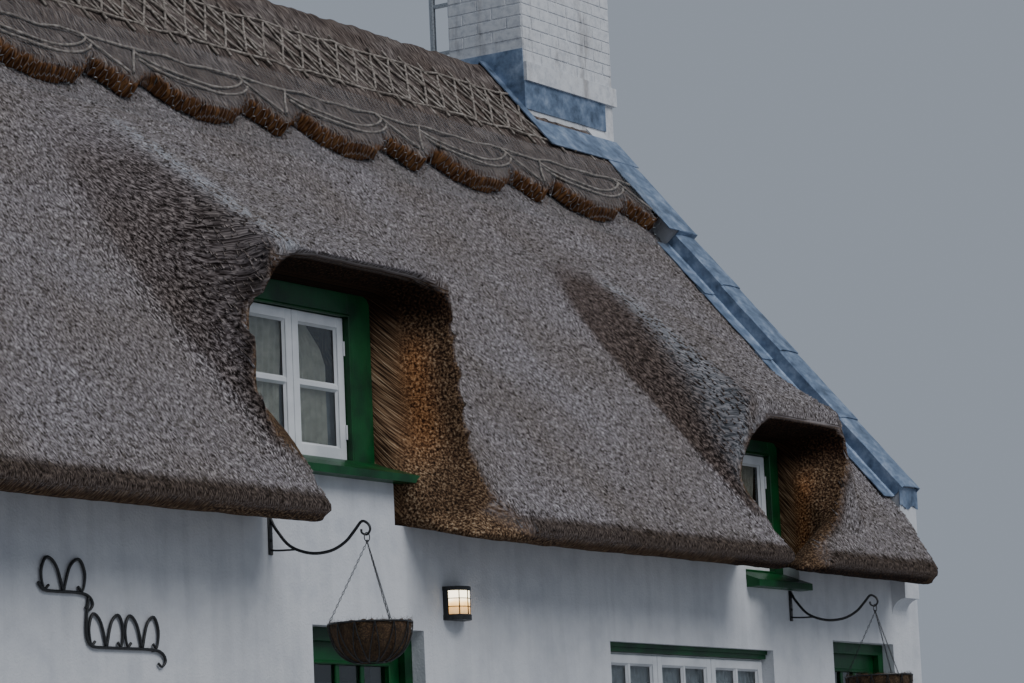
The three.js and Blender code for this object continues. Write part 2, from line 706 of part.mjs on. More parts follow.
function rod(from, to, radius) {
  const start = new THREE.Vector3(...from);
  const span = new THREE.Vector3(...to).sub(start);
  const geometry = new THREE.CylinderGeometry(radius, radius, span.length(), 6);
  geometry.applyQuaternion(new THREE.Quaternion().setFromUnitVectors(
    new THREE.Vector3(0, 1, 0), span.clone().normalize()));
  geometry.translate(...start.addScaledVector(span, 0.5).toArray());
  return toSolid(geometry);
}

const bracketShape = [
  [10, -12], [42, -70], [121, -155], [240, -200], [359, -200], [450, -165], [511, -112], [553, -72],
  [590, -90], [600, -118], [580, -140], [552, -128],
];
const brackets = [{ name: 'basket_1', x: -1400, z: 2580 }, { name: 'basket_2', x: 3890, z: 2446 }];
function bracket({ x, z }) {
  const plate = box(x - 16, x + 16, front - 8, front - gap, z - 190, z - 4);
  const scroll = bentBar(bracketShape.map(([out, up]) => [x, front - out, z + up]), barSize);
  const brace = bentBar([[x, front - 4, z - 170], [x, front - 60, z - 175], [x, front - 160, z - 180]], 10);
  return join(plate, scroll, brace);
}

const hookSeat = { out: 580, down: 140 };
const ringRadius = 22;
const ringWire = 5;
const hookPlay = 2.3;
const basketRadius = 200;
const basketDepth = 190;
const basketDrop = 565;
// A bowl's side from its foot to its rim, fuller low down than a round one
const bowlFullness = 0.72;
const bowlSide = (radius, depth) => arc(0, 0, 1, -90, 0, 8)
  .map(([r, h]) => [radius * Math.max(r, 0) ** bowlFullness, depth * h]);
function basket({ x, z }) {
  const rimZ = z - basketDrop;
  const y = front - hookSeat.out;
  const outer = bowlSide(basketRadius, basketDepth);
  const inner = bowlSide(basketRadius - 12, basketDepth - 12).reverse();
  const profile = [...outer, [basketRadius, 8], [basketRadius - 12, 8], ...inner];
  const bowl = new THREE.LatheGeometry(profile.map(([r, h]) => new THREE.Vector2(r, h)), 20);
  bowl.rotateX(Math.PI / 2);
  const solid = toSolid(bowl);
  const upright = solid.volume() > 0 ? solid : toSolid(flipped(bowl.toNonIndexed()));
  const ringZ = z - hookSeat.down + barSize / 2 + hookPlay + ringWire / 2 - ringRadius;
  const ring = new THREE.TorusGeometry(ringRadius, ringWire / 2, 6, 12);
  ring.rotateX(Math.PI / 2);
  ring.translate(x, y, ringZ);
  const top = [x, y, ringZ - ringRadius - 4];
  const chains = [2.7, 122.7, 242.7].map((angle) => {
    const a = THREE.MathUtils.degToRad(angle);
    const foot = [x + (basketRadius - 6) * Math.cos(a), y + (basketRadius - 6) * Math.sin(a), rimZ + 2];
    return rod(foot, top, 3);
  });
  const knot = new THREE.SphereGeometry(8, 8, 6);
  knot.translate(...top);
  return join(upright.translate([x, y, rimZ]), ...chains, toSolid(knot), toSolid(ring));
}
for (const item of brackets) {
  add(`${item.name}_bracket`, bracket(item), iron());
  add(item.name, basket(item), coir());
}

// Bulkhead lantern beside the first door: a half-round cage of panes between two end plates
const lamp = { x: 175, foot: 2126, cageFoot: 2154, cageTop: 2282, top: 2302, plateRadius: 96, cageRadius: 93 };
const lampRows = 3;
const lampColumns = { count: 4, from: 197.4, step: 38.4, bar: 3 };
function lantern() {
  const { x, foot, cageFoot, cageTop, top, plateRadius, cageRadius } = lamp;
  const wall = front - gap;
  const halfRound = (radius, z0, z1) => prismZ(arc(x, wall, radius, 180, 360, 16), z0, z1);
  const rowHeight = (cageTop - cageFoot) / lampRows;
  const panes = [];
  for (let column = 0; column < lampColumns.count; column += 1) {
    const from = lampColumns.from + column * lampColumns.step + lampColumns.bar / 2;
    const to = from + lampColumns.step - lampColumns.bar;
    const sector = [...arc(x, wall, cageRadius + 2, from, to, 3), ...arc(x, wall, cageRadius - 8, to, from, 3)];
    for (let row = 0; row < lampRows; row += 1) {
      panes.push(prismZ(sector, cageFoot + row * rowHeight + 2, cageFoot + (row + 1) * rowHeight - 2));
    }
  }
  const cage = cut(halfRound(cageRadius, cageFoot - 1, cageTop + 1), ...panes);
  return join(cage, halfRound(plateRadius, foot, cageFoot), halfRound(plateRadius, cageTop, top));
}
add('lantern', lantern(), iron());

// Plain scrollwork in two steps, in the place of the house sign
const scrollSize = 15;
function scrollOrnament() {
  const [x, y, z] = [-2660, front - 12, 2090];
  const bent = (line) => bentBar(line.map(([dx, dz]) => [x + dx, y, z + dz]), scrollSize);
  const curl = [[0, 0], [80, 90], [190, 118], [255, 68], [226, 8], [170, 20]];
  const pair = (dx, dz, wide, high) => [1, -1].map((side) =>
    bent(curl.map(([a, b]) => [dx + (side * a * wide) / 255, dz + (b * high) / 118])));
  const upper = [[-470, 92], [-440, 62], [-380, 55], [-200, 55], [-125, 40], [-100, 5], [-128, -22], [-150, -6]];
  const lower = [[-128, 42], [-146, -60], [-146, -140], [-110, -182], [0, -187], [300, -187], [385, -200],
    [412, -236], [386, -264], [360, -250]];
  const pegs = [[-400, 55], [-60, -186], [330, -192]].map(([dx, dz]) =>
    box(x + dx - 6, x + dx + 6, y, front - gap, z + dz - 6, z + dz + 6));
  return join(bent(upper), bent(lower), ...pair(-300, 55, 150, 150), ...pair(-10, -187, 120, 150),
    ...pair(245, -187, 120, 150), ...pegs);
}
add('scroll_ornament', scrollOrnament(), iron());

export default cottage;
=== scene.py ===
# %% [markdown]
# # A thatched cottage, dressed in Blender
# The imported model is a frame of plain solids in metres: X runs along the front, Y from front to
# back, Z up. Each piece below is either a better surface on one of those solids or a finer piece
# that stands in its place, and both share one frame. In one place they differ on purpose: the
# second dormer's hood follows the photograph more closely here than its solid does.

# %% Load the frame
import bpy, bmesh, json, math
import numpy as np
from mathutils import Matrix, Vector, noise
from mathutils.kdtree import KDTree


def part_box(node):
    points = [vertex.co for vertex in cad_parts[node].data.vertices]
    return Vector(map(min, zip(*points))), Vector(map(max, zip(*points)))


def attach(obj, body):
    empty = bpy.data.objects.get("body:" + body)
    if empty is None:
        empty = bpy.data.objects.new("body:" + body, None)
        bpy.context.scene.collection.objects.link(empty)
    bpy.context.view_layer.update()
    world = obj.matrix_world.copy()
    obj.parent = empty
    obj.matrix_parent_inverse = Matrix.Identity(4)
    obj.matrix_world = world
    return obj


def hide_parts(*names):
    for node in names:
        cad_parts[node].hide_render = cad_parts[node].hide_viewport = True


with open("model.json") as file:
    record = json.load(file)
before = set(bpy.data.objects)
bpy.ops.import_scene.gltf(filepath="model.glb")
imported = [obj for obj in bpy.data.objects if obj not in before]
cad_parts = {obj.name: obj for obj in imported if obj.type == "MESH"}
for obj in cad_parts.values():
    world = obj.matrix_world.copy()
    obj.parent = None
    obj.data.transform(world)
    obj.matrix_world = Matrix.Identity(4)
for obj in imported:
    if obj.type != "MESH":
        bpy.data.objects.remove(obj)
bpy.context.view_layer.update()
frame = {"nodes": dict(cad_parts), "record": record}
scene = bpy.context.scene

# %% [markdown]
# The camera stands low, to the left of the cottage, and looks up along the front with a long lens.
# Its place was solved from the lines of the eaves, the parapet and the window heads, so it is
# given as a point, a heading, a pitch and a slight roll.

# %% Camera
CAMERA_AT = Vector((-14.70, -12.45, 0.85))
HEADING, PITCH, ROLL = (math.radians(a) for a in (57.27, 8.70, 2.51))
SENSOR_MM = 36.0
LENS_IN_PICTURE_WIDTHS = 3418 / 1024
NEAREST, FARTHEST = 0.1, 200


def place_camera():
    ahead = Vector((math.sin(HEADING) * math.cos(PITCH), math.cos(HEADING) * math.cos(PITCH),
                    math.sin(PITCH)))
    level = Vector((math.cos(HEADING), -math.sin(HEADING), 0))
    upright = level.cross(ahead)
    right = level * math.cos(ROLL) - upright * math.sin(ROLL)
    up = upright * math.cos(ROLL) + level * math.sin(ROLL)
    lens = bpy.data.cameras.new("camera")
    lens.sensor_width = SENSOR_MM
    lens.lens = SENSOR_MM * LENS_IN_PICTURE_WIDTHS
    lens.clip_start, lens.clip_end = NEAREST, FARTHEST
    camera = bpy.data.objects.new("camera", lens)
    scene.collection.objects.link(camera)
    turned_to = Matrix((right, up, -ahead)).transposed().to_4x4()
    camera.matrix_world = Matrix.Translation(CAMERA_AT) @ turned_to
    scene.camera = camera


place_camera()
print("camera at", tuple(CAMERA_AT))

# %% [markdown]
# ## Node trees
# Materials and repeated shapes are both node trees. One small class adds nodes to a tree, and two
# kinds of it follow: a finish, which is a material in the making, and a grower, which is a tree
# that grows repeats on a carrier mesh. What it grows is copied out as a plain mesh, so no modifier
# is left on a piece.

# %% Nodes, finishes and growers


def linear(hex_code):
    """An sRGB hex colour as linear red, green, blue and 1."""
    channels = [int(hex_code[i:i + 2], 16) / 255 for i in (0, 2, 4)]
    straight = [c / 12.92 if c <= 0.04045 else ((c + 0.055) / 1.055) ** 2.4 for c in channels]
    return (*straight, 1.0)


class Nodes:
    """Adds nodes to a tree; inputs are values, or other nodes' outputs to link."""

    def __init__(self, tree):
        self.tree = tree

    def add(self, kind, inputs=None, **settings):
        node = self.tree.nodes.new(kind)
        for key, value in settings.items():
            setattr(node, key, value)
        for key, value in (inputs or {}).items():
            if isinstance(value, bpy.types.NodeSocket):
                self.tree.links.new(value, node.inputs[key])
            else:
                node.inputs[key].default_value = value
        return node.outputs

    def maths(self, operation, *values):
        return self.add("ShaderNodeMath", dict(enumerate(values)), operation=operation)[0]


class Finish(Nodes):
    """A material in the making. Patterns read Object coordinates in metres unless told where."""

    def __init__(self, name, roughness, base="808080", specular=0.5, metallic=0.0, coat=0.0):
        self.made = bpy.data.materials.new(name)
        self.made.use_nodes = True
        super().__init__(self.made.node_tree)
        self.shader = self.tree.nodes["Principled BSDF"]
        self.set({"Base Color": linear(base), "Roughness": roughness,
                  "Specular IOR Level": specular, "Metallic": metallic, "Coat Weight": coat})
        self.place = self.add("ShaderNodeTexCoord")["Object"]

    def set(self, values):
        for key, value in values.items():
            if isinstance(value, bpy.types.NodeSocket):
                self.tree.links.new(value, self.shader.inputs[key])
            else:
                self.shader.inputs[key].default_value = value

    def reed_place(self):
        """Metres across and along the strands."""
        return self.add("ShaderNodeUVMap", uv_map="reed")[0]

    def field(self, name):
        return self.add("ShaderNodeAttribute", attribute_name=name)["Fac"]

    def noise(self, size, detail, where=None, **more):
        """Noise with features of one size in metres, or of three sizes along the axes."""
        where = where or self.place
        if isinstance(size, tuple):
            scale = tuple(1 / s for s in size)
            where, size = self.add("ShaderNodeMapping", {"Vector": where, "Scale": scale})[0], 1.0
        return self.add("ShaderNodeTexNoise", {"Vector": where, "Scale": 1 / size, "Detail": detail,
                                               **more})[0]

    def ramp(self, factor, *stops):
        """A colour ramp from (position, hex) stops."""
        colours = self.add("ShaderNodeValToRGB", {"Fac": factor})["Color"]
        elements = colours.node.color_ramp.elements
        while len(elements) > 1:
            elements.remove(elements[-1])
        elements[0].position, elements[0].color = stops[0][0], linear(stops[0][1])
        for position, colour in stops[1:]:
            elements.new(position).color = linear(colour)
        return colours

    def mix(self, factor, a, b, how="MIX"):
        b = linear(b) if isinstance(b, str) else b
        return self.add("ShaderNodeMix", {0: factor, 6: a, 7: b}, data_type="RGBA",
                        blend_type=how)[2]

    def times(self, factor, a, b):
        return self.mix(factor, a, b, "MULTIPLY")

    def between(self, factor, a, b):
        return self.add("ShaderNodeMix", {0: factor, 2: a, 3: b})[0]

    def bump(self, height, depth, strength=1.0):
        """Ends the finish with its relief, in metres, and returns the material."""
        self.set({"Normal": self.add("ShaderNodeBump", {"Height": height, "Distance": depth,
                                                        "Strength": strength})["Normal"]})
        return self.made


SOCKETS = {float: "NodeSocketFloat", int: "NodeSocketInt", "object": "NodeSocketObject",
           "material": "NodeSocketMaterial"}


class Grower(Nodes):
    """A Geometry Nodes tree with named inputs."""

    def __init__(self, name, sizes):
        super().__init__(bpy.data.node_groups.new(name, "GeometryNodeTree"))
        self.socket("Geometry", "NodeSocketGeometry")
        for label, value in {**sizes, "Finish": "material"}.items():
            if isinstance(value, str):
                self.socket(label, SOCKETS[value])
            else:
                self.socket(label, SOCKETS[type(value)]).default_value = value
        self.socket("Geometry", "NodeSocketGeometry", "OUTPUT")
        self.size = self.add("NodeGroupInput")

    def socket(self, label, kind, way="INPUT"):
        return self.tree.interface.new_socket(label, in_out=way, socket_type=kind)

    def field(self, name, kind="FLOAT_VECTOR"):
        return self.add("GeometryNodeInputNamedAttribute", {"Name": name}, data_type=kind)[0]

    def scaled(self, vector, size):
        return self.add("ShaderNodeVectorMath", {0: vector, "Scale": size}, operation="SCALE")[0]

    def plus(self, a, b):
        return self.add("ShaderNodeVectorMath", {0: a, 1: b}, operation="ADD")[0]

    def stray(self, size):
        """A random vector of the given size for each point."""
        way = self.add("FunctionNodeRandomValue",
                       {0: (-1, -1, -1), 1: (1, 1, 1), "Seed": self.size["Seed"]},
                       data_type="FLOAT_VECTOR")
        return self.scaled(way[0], size)

    def curve(self):
        return self.add("GeometryNodeMeshToCurve", {"Mesh": self.size["Geometry"]})[0]

    def copies(self, points, shape, **more):
        """One copy of an object on each point."""
        one = self.add("GeometryNodeObjectInfo", {"Object": self.size[shape]})["Geometry"]
        return self.add("GeometryNodeInstanceOnPoints",
                        {"Points": points, "Instance": one, **more})[0]

    def end(self, geometry):
        real = self.add("GeometryNodeRealizeInstances", {"Geometry": geometry})[0]
        coated = self.add("GeometryNodeSetMaterial", {"Geometry": real,
                                                      "Material": self.size["Finish"]})[0]
        self.add("NodeGroupOutput", {"Geometry": coated})
        return self

    def grow(self, carrier_mesh, sizes):
        """Runs the tree on a carrier mesh and returns what it grows as a plain mesh."""
        carrier = placed("carrier", carrier_mesh)
        modifier = carrier.modifiers.new("grow", "NODES")
        modifier.node_group = self.tree
        for item in self.tree.interface.items_tree:
            if item.in_out == "INPUT" and item.name in sizes:
                modifier[item.identifier] = sizes[item.name]
        carrier.update_tag()
        return taken(carrier)


def placed(name, mesh):
    """An object in the scene: a piece, or a helper that is removed once its tree has run."""
    shape = bpy.data.objects.new(name, mesh)
    scene.collection.objects.link(shape)
    return shape


def taken(shape, *helpers):
    """The object's mesh with its modifiers applied; the object and its helpers are removed."""
    mesh = bpy.data.meshes.new_from_object(
        shape.evaluated_get(bpy.context.evaluated_depsgraph_get()))
    for done in (shape, *helpers):
        bpy.data.objects.remove(done)
    return mesh


# %% [markdown]
# The light is that of an overcast day: a pale sky all round, and one wide sun from the front and
# above, so that the eaves and the hoods throw soft shadows. The floor is a plain grey disc under
# the walls; it isn't part of the cottage.

# %% Sky, sun and floor
SKY = (0.60, 0.68, 0.80, 1)
SKY_STRENGTH = 0.46
SUN_STRENGTH = 1.85
SUN_WIDTH = math.radians(36)
TOWARDS_SUN = Vector((-0.10, -0.70, 0.76))
FLOOR_RADIUS, FLOOR_DROP = 60, 0.002

world = bpy.data.worlds.new("overcast_sky")
scene.world = world
world.use_nodes = True
world.node_tree.nodes["Background"].inputs["Color"].default_value = SKY
world.node_tree.nodes["Background"].inputs["Strength"].default_value = SKY_STRENGTH

sun_data = bpy.data.lights.new("wide_sun", "SUN")
sun_data.energy, sun_data.angle = SUN_STRENGTH, SUN_WIDTH
sun = bpy.data.objects.new("wide_sun", sun_data)
sun.rotation_euler = TOWARDS_SUN.to_track_quat("Z", "Y").to_euler()
scene.collection.objects.link(sun)


def floor_disc():
    shape = bmesh.new()
    bmesh.ops.create_circle(shape, cap_ends=True, segments=64, radius=FLOOR_RADIUS,
                            matrix=Matrix.Translation((0, 0, -FLOOR_DROP)))
    mesh = bpy.data.meshes.new("floor")
    shape.to_mesh(mesh)
    shape.free()
    mesh.materials.append(Finish("studio_floor", 0.9, "a4a5a8").made)
    placed("floor", mesh)


floor_disc()
print("floor radius", FLOOR_RADIUS, "m")

# %% [markdown]
# ## Tools for the pieces
# A piece is a mesh with its place in its points, one material, and the body it rides on. Most are
# made of three things: bevelled boxes, lofts through rings of points, and grown repeats.

# %% Pieces from points and faces


def piece(name, mesh, material, body="house", stands_for=(), smooth=False):
    mesh.name = name
    mesh.materials.clear()
    mesh.materials.append(material)
    if smooth:
        mesh.shade_smooth()
    made = placed(name, mesh)
    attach(made, body)
    if stands_for:
        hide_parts(*stands_for)
    mesh.calc_loop_triangles()
    print(f"{name}: {len(mesh.loop_triangles)} triangles")
    return made


def mesh_of(points, faces=(), edges=()):
    mesh = bpy.data.meshes.new("shape")
    mesh.from_pydata(*([tuple(row) for row in rows] for rows in (points, edges, faces)))
    return mesh


def ended(shape, mesh=None):
    mesh = mesh or bpy.data.meshes.new("shape")
    shape.to_mesh(mesh)
    shape.free()
    return mesh


def outward(mesh):
    """The same closed mesh with every face turned outwards."""
    shape = bmesh.new()
    shape.from_mesh(mesh)
    bmesh.ops.recalc_face_normals(shape, faces=shape.faces)
    return ended(shape, mesh)


def joined(meshes):
    """A new mesh with everything in the given ones."""
    shape = bmesh.new()
    for mesh in meshes:
        shape.from_mesh(mesh)
    return ended(shape)


def boxes(rows, bevel=0.002):
    """Bevelled bars from rows of x0, x1, y0, y1, z0, z1."""
    shape = bmesh.new()
    for x0, x1, y0, y1, z0, z1 in rows:
        at = Matrix.Translation(((x0 + x1) / 2, (y0 + y1) / 2, (z0 + z1) / 2))
        size = Matrix.Diagonal((x1 - x0, y1 - y0, z1 - z0, 1))
        corners = bmesh.ops.create_cube(shape, size=1, matrix=at @ size)["verts"]
        if bevel:
            edges = list({edge for corner in corners for edge in corner.link_edges})
            bmesh.ops.bevel(shape, geom=edges, offset=bevel, segments=1, affect="EDGES",
                            clamp_overlap=True)
    return ended(shape)


def loft(rings, hoop=False):
    """A solid through rings of equal count; a hoop closes on its first ring, with no ends."""
    count, length = len(rings[0]), len(rings)
    faces = []
    for r in range(length if hoop else length - 1):
        here, beyond = r * count, (r + 1) % length * count
        faces += [(here + i, here + (i + 1) % count, beyond + (i + 1) % count, beyond + i)
                  for i in range(count)]
    if not hoop:
        faces += [tuple(range(count))[::-1], tuple(range((length - 1) * count, length * count))]
    return outward(mesh_of([p for ring in rings for p in ring], faces))


def turns(count):
    """Angles that divide a full turn."""
    return [2 * math.pi * i / count for i in range(count)]


def mirrored(mesh):
    """A copy at the rear of the cottage, with its faces turned back outwards."""
    copy = mesh.copy()
    copy.transform(Matrix.Diagonal((1, -1, 1, 1)))
    copy.flip_normals()
    return copy


# %% Numbers read from and written to a mesh


def read(items, key, width=1, kind=np.float32):
    """One property of every point, corner or face, as rows of the given width."""
    flat = np.empty(len(items) * width, kind)
    items.foreach_get(key, flat)
    return flat.reshape(-1, width).astype(float) if width > 1 else flat


def points_of(mesh):
    return read(mesh.vertices, "co", 3)


def normals_of(mesh):
    return read(mesh.vertices, "normal", 3)


def set_points(mesh, points):
    mesh.vertices.foreach_set("co", points.astype(np.float32).ravel())
    mesh.update()


def set_fields(mesh, kind="FLOAT", **fields):
    for name, values in fields.items():
        field = mesh.attributes.new(name, kind, "POINT")
        key = "vector" if kind == "FLOAT_VECTOR" else "value"
        field.data.foreach_set(key, np.asarray(values, np.float32).ravel())


def set_flow(mesh, normals, way):
    """The direction in which strands lie: the given way, laid flat on the surface."""
    way = way - normals * (way * normals).sum(1)[:, None]
    way /= np.linalg.norm(way, axis=1)[:, None] + 1e-9
    set_fields(mesh, "FLOAT_VECTOR", flow=way)


def set_reed_map(mesh, corners, across, along):
    uv = mesh.uv_layers.new(name="reed")
    rows = np.stack([across, along], 1).astype(np.float32)
    uv.data.foreach_set("uv", (rows if corners is None else rows[corners]).ravel())


def corners_of(mesh):
    return read(mesh.loops, "vertex_index", kind=np.int32)


def lumps(points, size, seed):
    """Smooth noise from -1 to 1 at each point, with features of the given size."""
    shift = Vector((seed * 7.3, seed * 3.1, seed * 1.7))
    return np.array([noise.noise(Vector(p) / size + shift) for p in points])


def relief(points, seed, *layers):
    """Layers of lumps, each a (size, height) in metres."""
    return sum(height * lumps(points, size, seed + i) for i, (size, height) in enumerate(layers))


def smooth(t):
    t = np.clip(t, 0, 1)
    return t * t * (3 - 2 * t)


# %% [markdown]
# ## Materials
# A pattern's scale is one over its real size, so the sizes below are in metres. The reed and the
# ridge straw follow the surface: they read a "reed" UV map, with metres across the strands and
# metres along them.

# %% Lime render
# Soft lime render under many coats of limewash: chalky, uneven by a few millimetres, grey where
# rain runs, with faint trowel waves 150 mm across and grit of 3 mm.
def lime_render():
    f = Finish("limewashed_render", 0.92, specular=0.25)
    waves, grit = f.noise(0.15, 5.0, Roughness=0.6), f.noise(0.012, 3.0)
    ground = f.ramp(f.noise(1.3, 4.0), (0.35, "c3c6cc"), (0.65, "d3d5d9"))
    worn = f.ramp(waves, (0.3, "b9bcc3"), (0.55, "d2d4d8"), (0.8, "dcdde0"))
    run = f.ramp(f.noise((1 / 9, 1 / 9, 1 / 0.8), 4.0), (0.38, "a6a8ac"), (0.52, "ffffff"))
    f.set({"Base Color": f.times(0.12, f.mix(0.45, ground, worn), run)})
    return f.bump(f.maths("MULTIPLY_ADD", waves, grit, waves), 0.006, 0.8)


RENDER = lime_render()


# %% Weathered reed
# Water reed laid in bundles and dressed with a paddle. Only the butts of the reeds show, as short
# strokes 8 mm wide that point down the slope, grey with lichen. Painted shade darkens them on the
# flanks of the hoods, a painted highlight of sky light runs along each hood's back, and they darken
# near a cut edge. Where the coat is cut, at the hoods' cheeks, the strands are brown and warm, and
# turn from strands by the window to speckled butts at the face.
# Painted shade for the hoods' flanks, and a darker tone along the eaves and near a cut.
FLANK_SHADE_TINT, EDGE_TINT = "a8988c", "9a8e82"


def weathered(f, colour):
    """The stains that the reed and its loose ends share."""
    stain = f.ramp(f.noise(0.8, 5.0), (0.35, "b9aea4"), (0.65, "e6e6ee"))
    return f.times(0.5, colour, stain)


def reed_thatch():
    f = Finish("weathered_reed", 0.95, specular=0.15)
    reed = f.reed_place()
    strokes = f.noise((0.008, 0.034, 1.0), 2.0, reed, Roughness=0.7)
    locks = f.noise((0.03, 0.12, 1.0), 3.0, reed)
    strands = f.noise((0.006, 0.16, 1.0), 2.0, reed)
    outer = f.ramp(strokes, (0.36, "231d1c"), (0.45, "655e5d"), (0.53, "999496"), (0.64, "d6d2d2"))
    outer = weathered(f, f.times(0.5, outer, f.ramp(locks, (0.3, "a39c9a"), (0.7, "f2efef"))))
    # Painted shade: the hoods' steep flanks are darkened to brown.
    outer = f.times(f.field("flank"), outer, FLANK_SHADE_TINT)
    outer = f.times(f.field("edge"), outer, EDGE_TINT)
    # Painted highlight: a pale, bluish line of sky light along each hood's back.
    outer = f.mix(f.field("crest"), outer, f.ramp(strokes, (0.35, "6d747c"), (0.6, "c7cdd6")))
    fibre = f.between(f.field("butts"), strands, f.noise(0.013, 2.0))
    inner = f.ramp(fibre, (0.32, "1a110b"), (0.46, "4b3829"), (0.58, "7a6149"), (0.72, "ab977d"))
    glow = f.ramp(fibre, (0.32, "251308"), (0.47, "6a4225"), (0.62, "9c6c43"), (0.75, "b98d63"))
    inner = f.times(f.field("shade"), f.mix(f.field("warm"), inner, glow), "54371f")
    cut = f.field("cut")
    f.set({"Base Color": f.mix(cut, outer, inner)})
    return f.bump(f.between(cut, strokes, fibre), 0.012)


REED = reed_thatch()


# Butt ends of water reed: grey and straw-coloured, each end its own tone. On the hoods' flanks they
# carry the same painted shade as the reed.
def reed_butts():
    f = Finish("reed_butts", 0.9, specular=0.2)
    colour = f.ramp(f.noise(0.03, 3.0, Roughness=0.7), (0.36, "3a3431"), (0.47, "7a7470"),
                    (0.57, "a6a1a2"), (0.68, "d2cece"))
    # Painted shade on the hoods' flanks, as on the reed.
    colour = f.times(f.field("flank"), colour, FLANK_SHADE_TINT)
    f.set({"Base Color": weathered(f, f.times(f.field("edge"), colour, EDGE_TINT))})
    return f.made


BUTTS = reed_butts()


# %% Ridge straw and hazel
# The ridge is sedge and straw, coarser and browner than the reed, cut with a knife at its edge.
def ridge_straw():
    f = Finish("ridge_straw", 0.95, specular=0.15)
    straws = f.noise((0.012, 0.11, 1.0), 3.0, f.reed_place(), Roughness=0.65)
    outer = f.ramp(straws, (0.33, "221c1a"), (0.45, "544b48"), (0.55, "827872"), (0.68, "b0a79f"))
    stain = f.ramp(f.noise(0.35, 5.0), (0.35, "8c7568"), (0.65, "c4c2c6"))
    inner = f.ramp(straws, (0.3, "1f130b"), (0.5, "64432a"), (0.7, "9c7148"))
    f.set({"Base Color": f.mix(f.field("cut"), f.times(0.6, outer, stain), inner)})
    return f.bump(straws, 0.014)


def one_grain(name, roughness, size, detail, depth, *stops):
    """A plain finish whose colour and relief follow one noise."""
    f = Finish(name, roughness)
    grain = f.noise(size, detail)
    f.set({"Base Color": f.ramp(grain, *stops)})
    return f.bump(grain, depth)


STRAW = ridge_straw()
HAZEL = one_grain("split_hazel", 0.8, 0.03, 4.0, 0.002, (0.3, "4a423c"), (0.5, "7c736b"),
                  (0.7, "a29a92"))
print("reed, straw and hazel")


# %% Brick, lead, clay and metals
# Stock brick under old masonry paint: chalky, with rust-brown bleeding at the joints.
def painted_brick():
    f = Finish("painted_brick", 0.85, specular=0.3)
    face = f.noise(0.05, 5.0, Roughness=0.6)
    colour = f.ramp(face, (0.3, "b9bcc2"), (0.5, "d0d2d6"), (0.75, "dedfe1"))
    dirt = f.ramp(f.noise((1 / 5, 1 / 5, 1 / 1.2), 6.0, Roughness=0.7), (0.36, "8d8178"),
                  (0.5, "ffffff"))
    f.set({"Base Color": f.times(0.5, colour, dirt)})
    return f.bump(face, 0.003)


# Rolled sheet lead: grey-blue, dull, with white bloom and dark runs.
def sheet_lead():
    f = Finish("weathered_lead", 0.5, metallic=0.55)
    bloom = f.noise(0.12, 6.0, Roughness=0.65)
    rough = f.add("ShaderNodeMapRange", {"Value": bloom, "To Min": 0.38, "To Max": 0.7})[0]
    f.set({"Base Color": f.ramp(bloom, (0.3, "4d5c70"), (0.5, "7789a2"), (0.72, "a6b4c8")),
           "Roughness": rough})
    return f.bump(f.noise(0.09, 2.0), 0.01)


# Fired terracotta: even orange clay, sooty at the rim.
def terracotta():
    f = Finish("fired_terracotta", 0.8)
    clay = f.noise(0.04, 5.0)
    body = f.ramp(clay, (0.3, "8a4a30"), (0.6, "b06a48"), (0.8, "c08260"))
    soot = f.ramp(f.noise(0.25, 3.0), (0.4, "4a3e38"), (0.6, "ffffff"))
    f.set({"Base Color": f.times(0.6, body, soot)})
    return f.bump(clay, 0.002)


# Hot-dip zinc on steel: pale grey with 15 mm spangle.
def galvanised():
    f = Finish("galvanised_steel", 0.45, metallic=1.0)
    spangle = f.add("ShaderNodeTexVoronoi", {"Vector": f.place, "Scale": 1 / 0.015})["Distance"]
    f.set({"Base Color": f.ramp(spangle, (0.1, "8b8f93"), (0.6, "a9adb0"))})
    return f.made


# Forged iron in black gloss that has gone matt, with hammer marks 12 mm across.
IRON = one_grain("painted_iron", 0.45, 0.012, 3.0, 0.0015, (0.3, "0c0d0f"), (0.7, "26282b"))
BRICK, LEAD, CLAY, ZINC = painted_brick(), sheet_lead(), terracotta(), galvanised()


# %% Paint, glass, boards and coir
# Gloss paint on softwood: brush marks along the grain, dulled and chalked by weather.
def gloss_paint(name, dark, light, roughness):
    f = Finish(name, roughness, specular=0.3, coat=0.05)
    f.set({"Base Color": f.ramp(f.noise(0.18, 5.0), (0.35, dark), (0.65, light))})
    return f.bump(f.noise((1 / 160, 1 / 160, 1 / 12), 2.0), 0.0008)


GREEN = gloss_paint("green_gloss_paint", "022e16", "054c24", 0.38)
WHITE = gloss_paint("white_gloss_paint", "c9ccd0", "e0e2e5", 0.4)


# Drawn window glass: clear, slightly wavy, seen against a dark room.
def window_glass():
    f = Finish("window_glass", 0.03, "dfe6e8")
    f.set({"Transmission Weight": 1.0, "IOR": 1.5})
    return f.bump(f.noise(0.25, 1.0), 0.002, 0.3)


# Pine boards 140 mm wide across the joists.
def pine_boards():
    f = Finish("pine_boards", 0.6)
    turned_place = f.add("ShaderNodeMapping", {"Vector": f.place,
                                               "Rotation": (0, 0, math.pi / 2)})[0]
    board = f.add("ShaderNodeTexBrick", {
        "Vector": turned_place, "Color1": linear("7a5a3a"), "Color2": linear("8d6b47"),
        "Mortar": linear("2c2018"), "Scale": 1.0, "Brick Width": 2.4, "Row Height": 0.14,
        "Mortar Size": 0.003})["Color"]
    grain = f.noise((1 / 60, 1 / 3, 1 / 60), 4.0)
    f.set({"Base Color": f.times(0.5, board, f.ramp(grain, (0.35, "9a8a78"), (0.65, "ffffff")))})
    return f.bump(grain, 0.001)


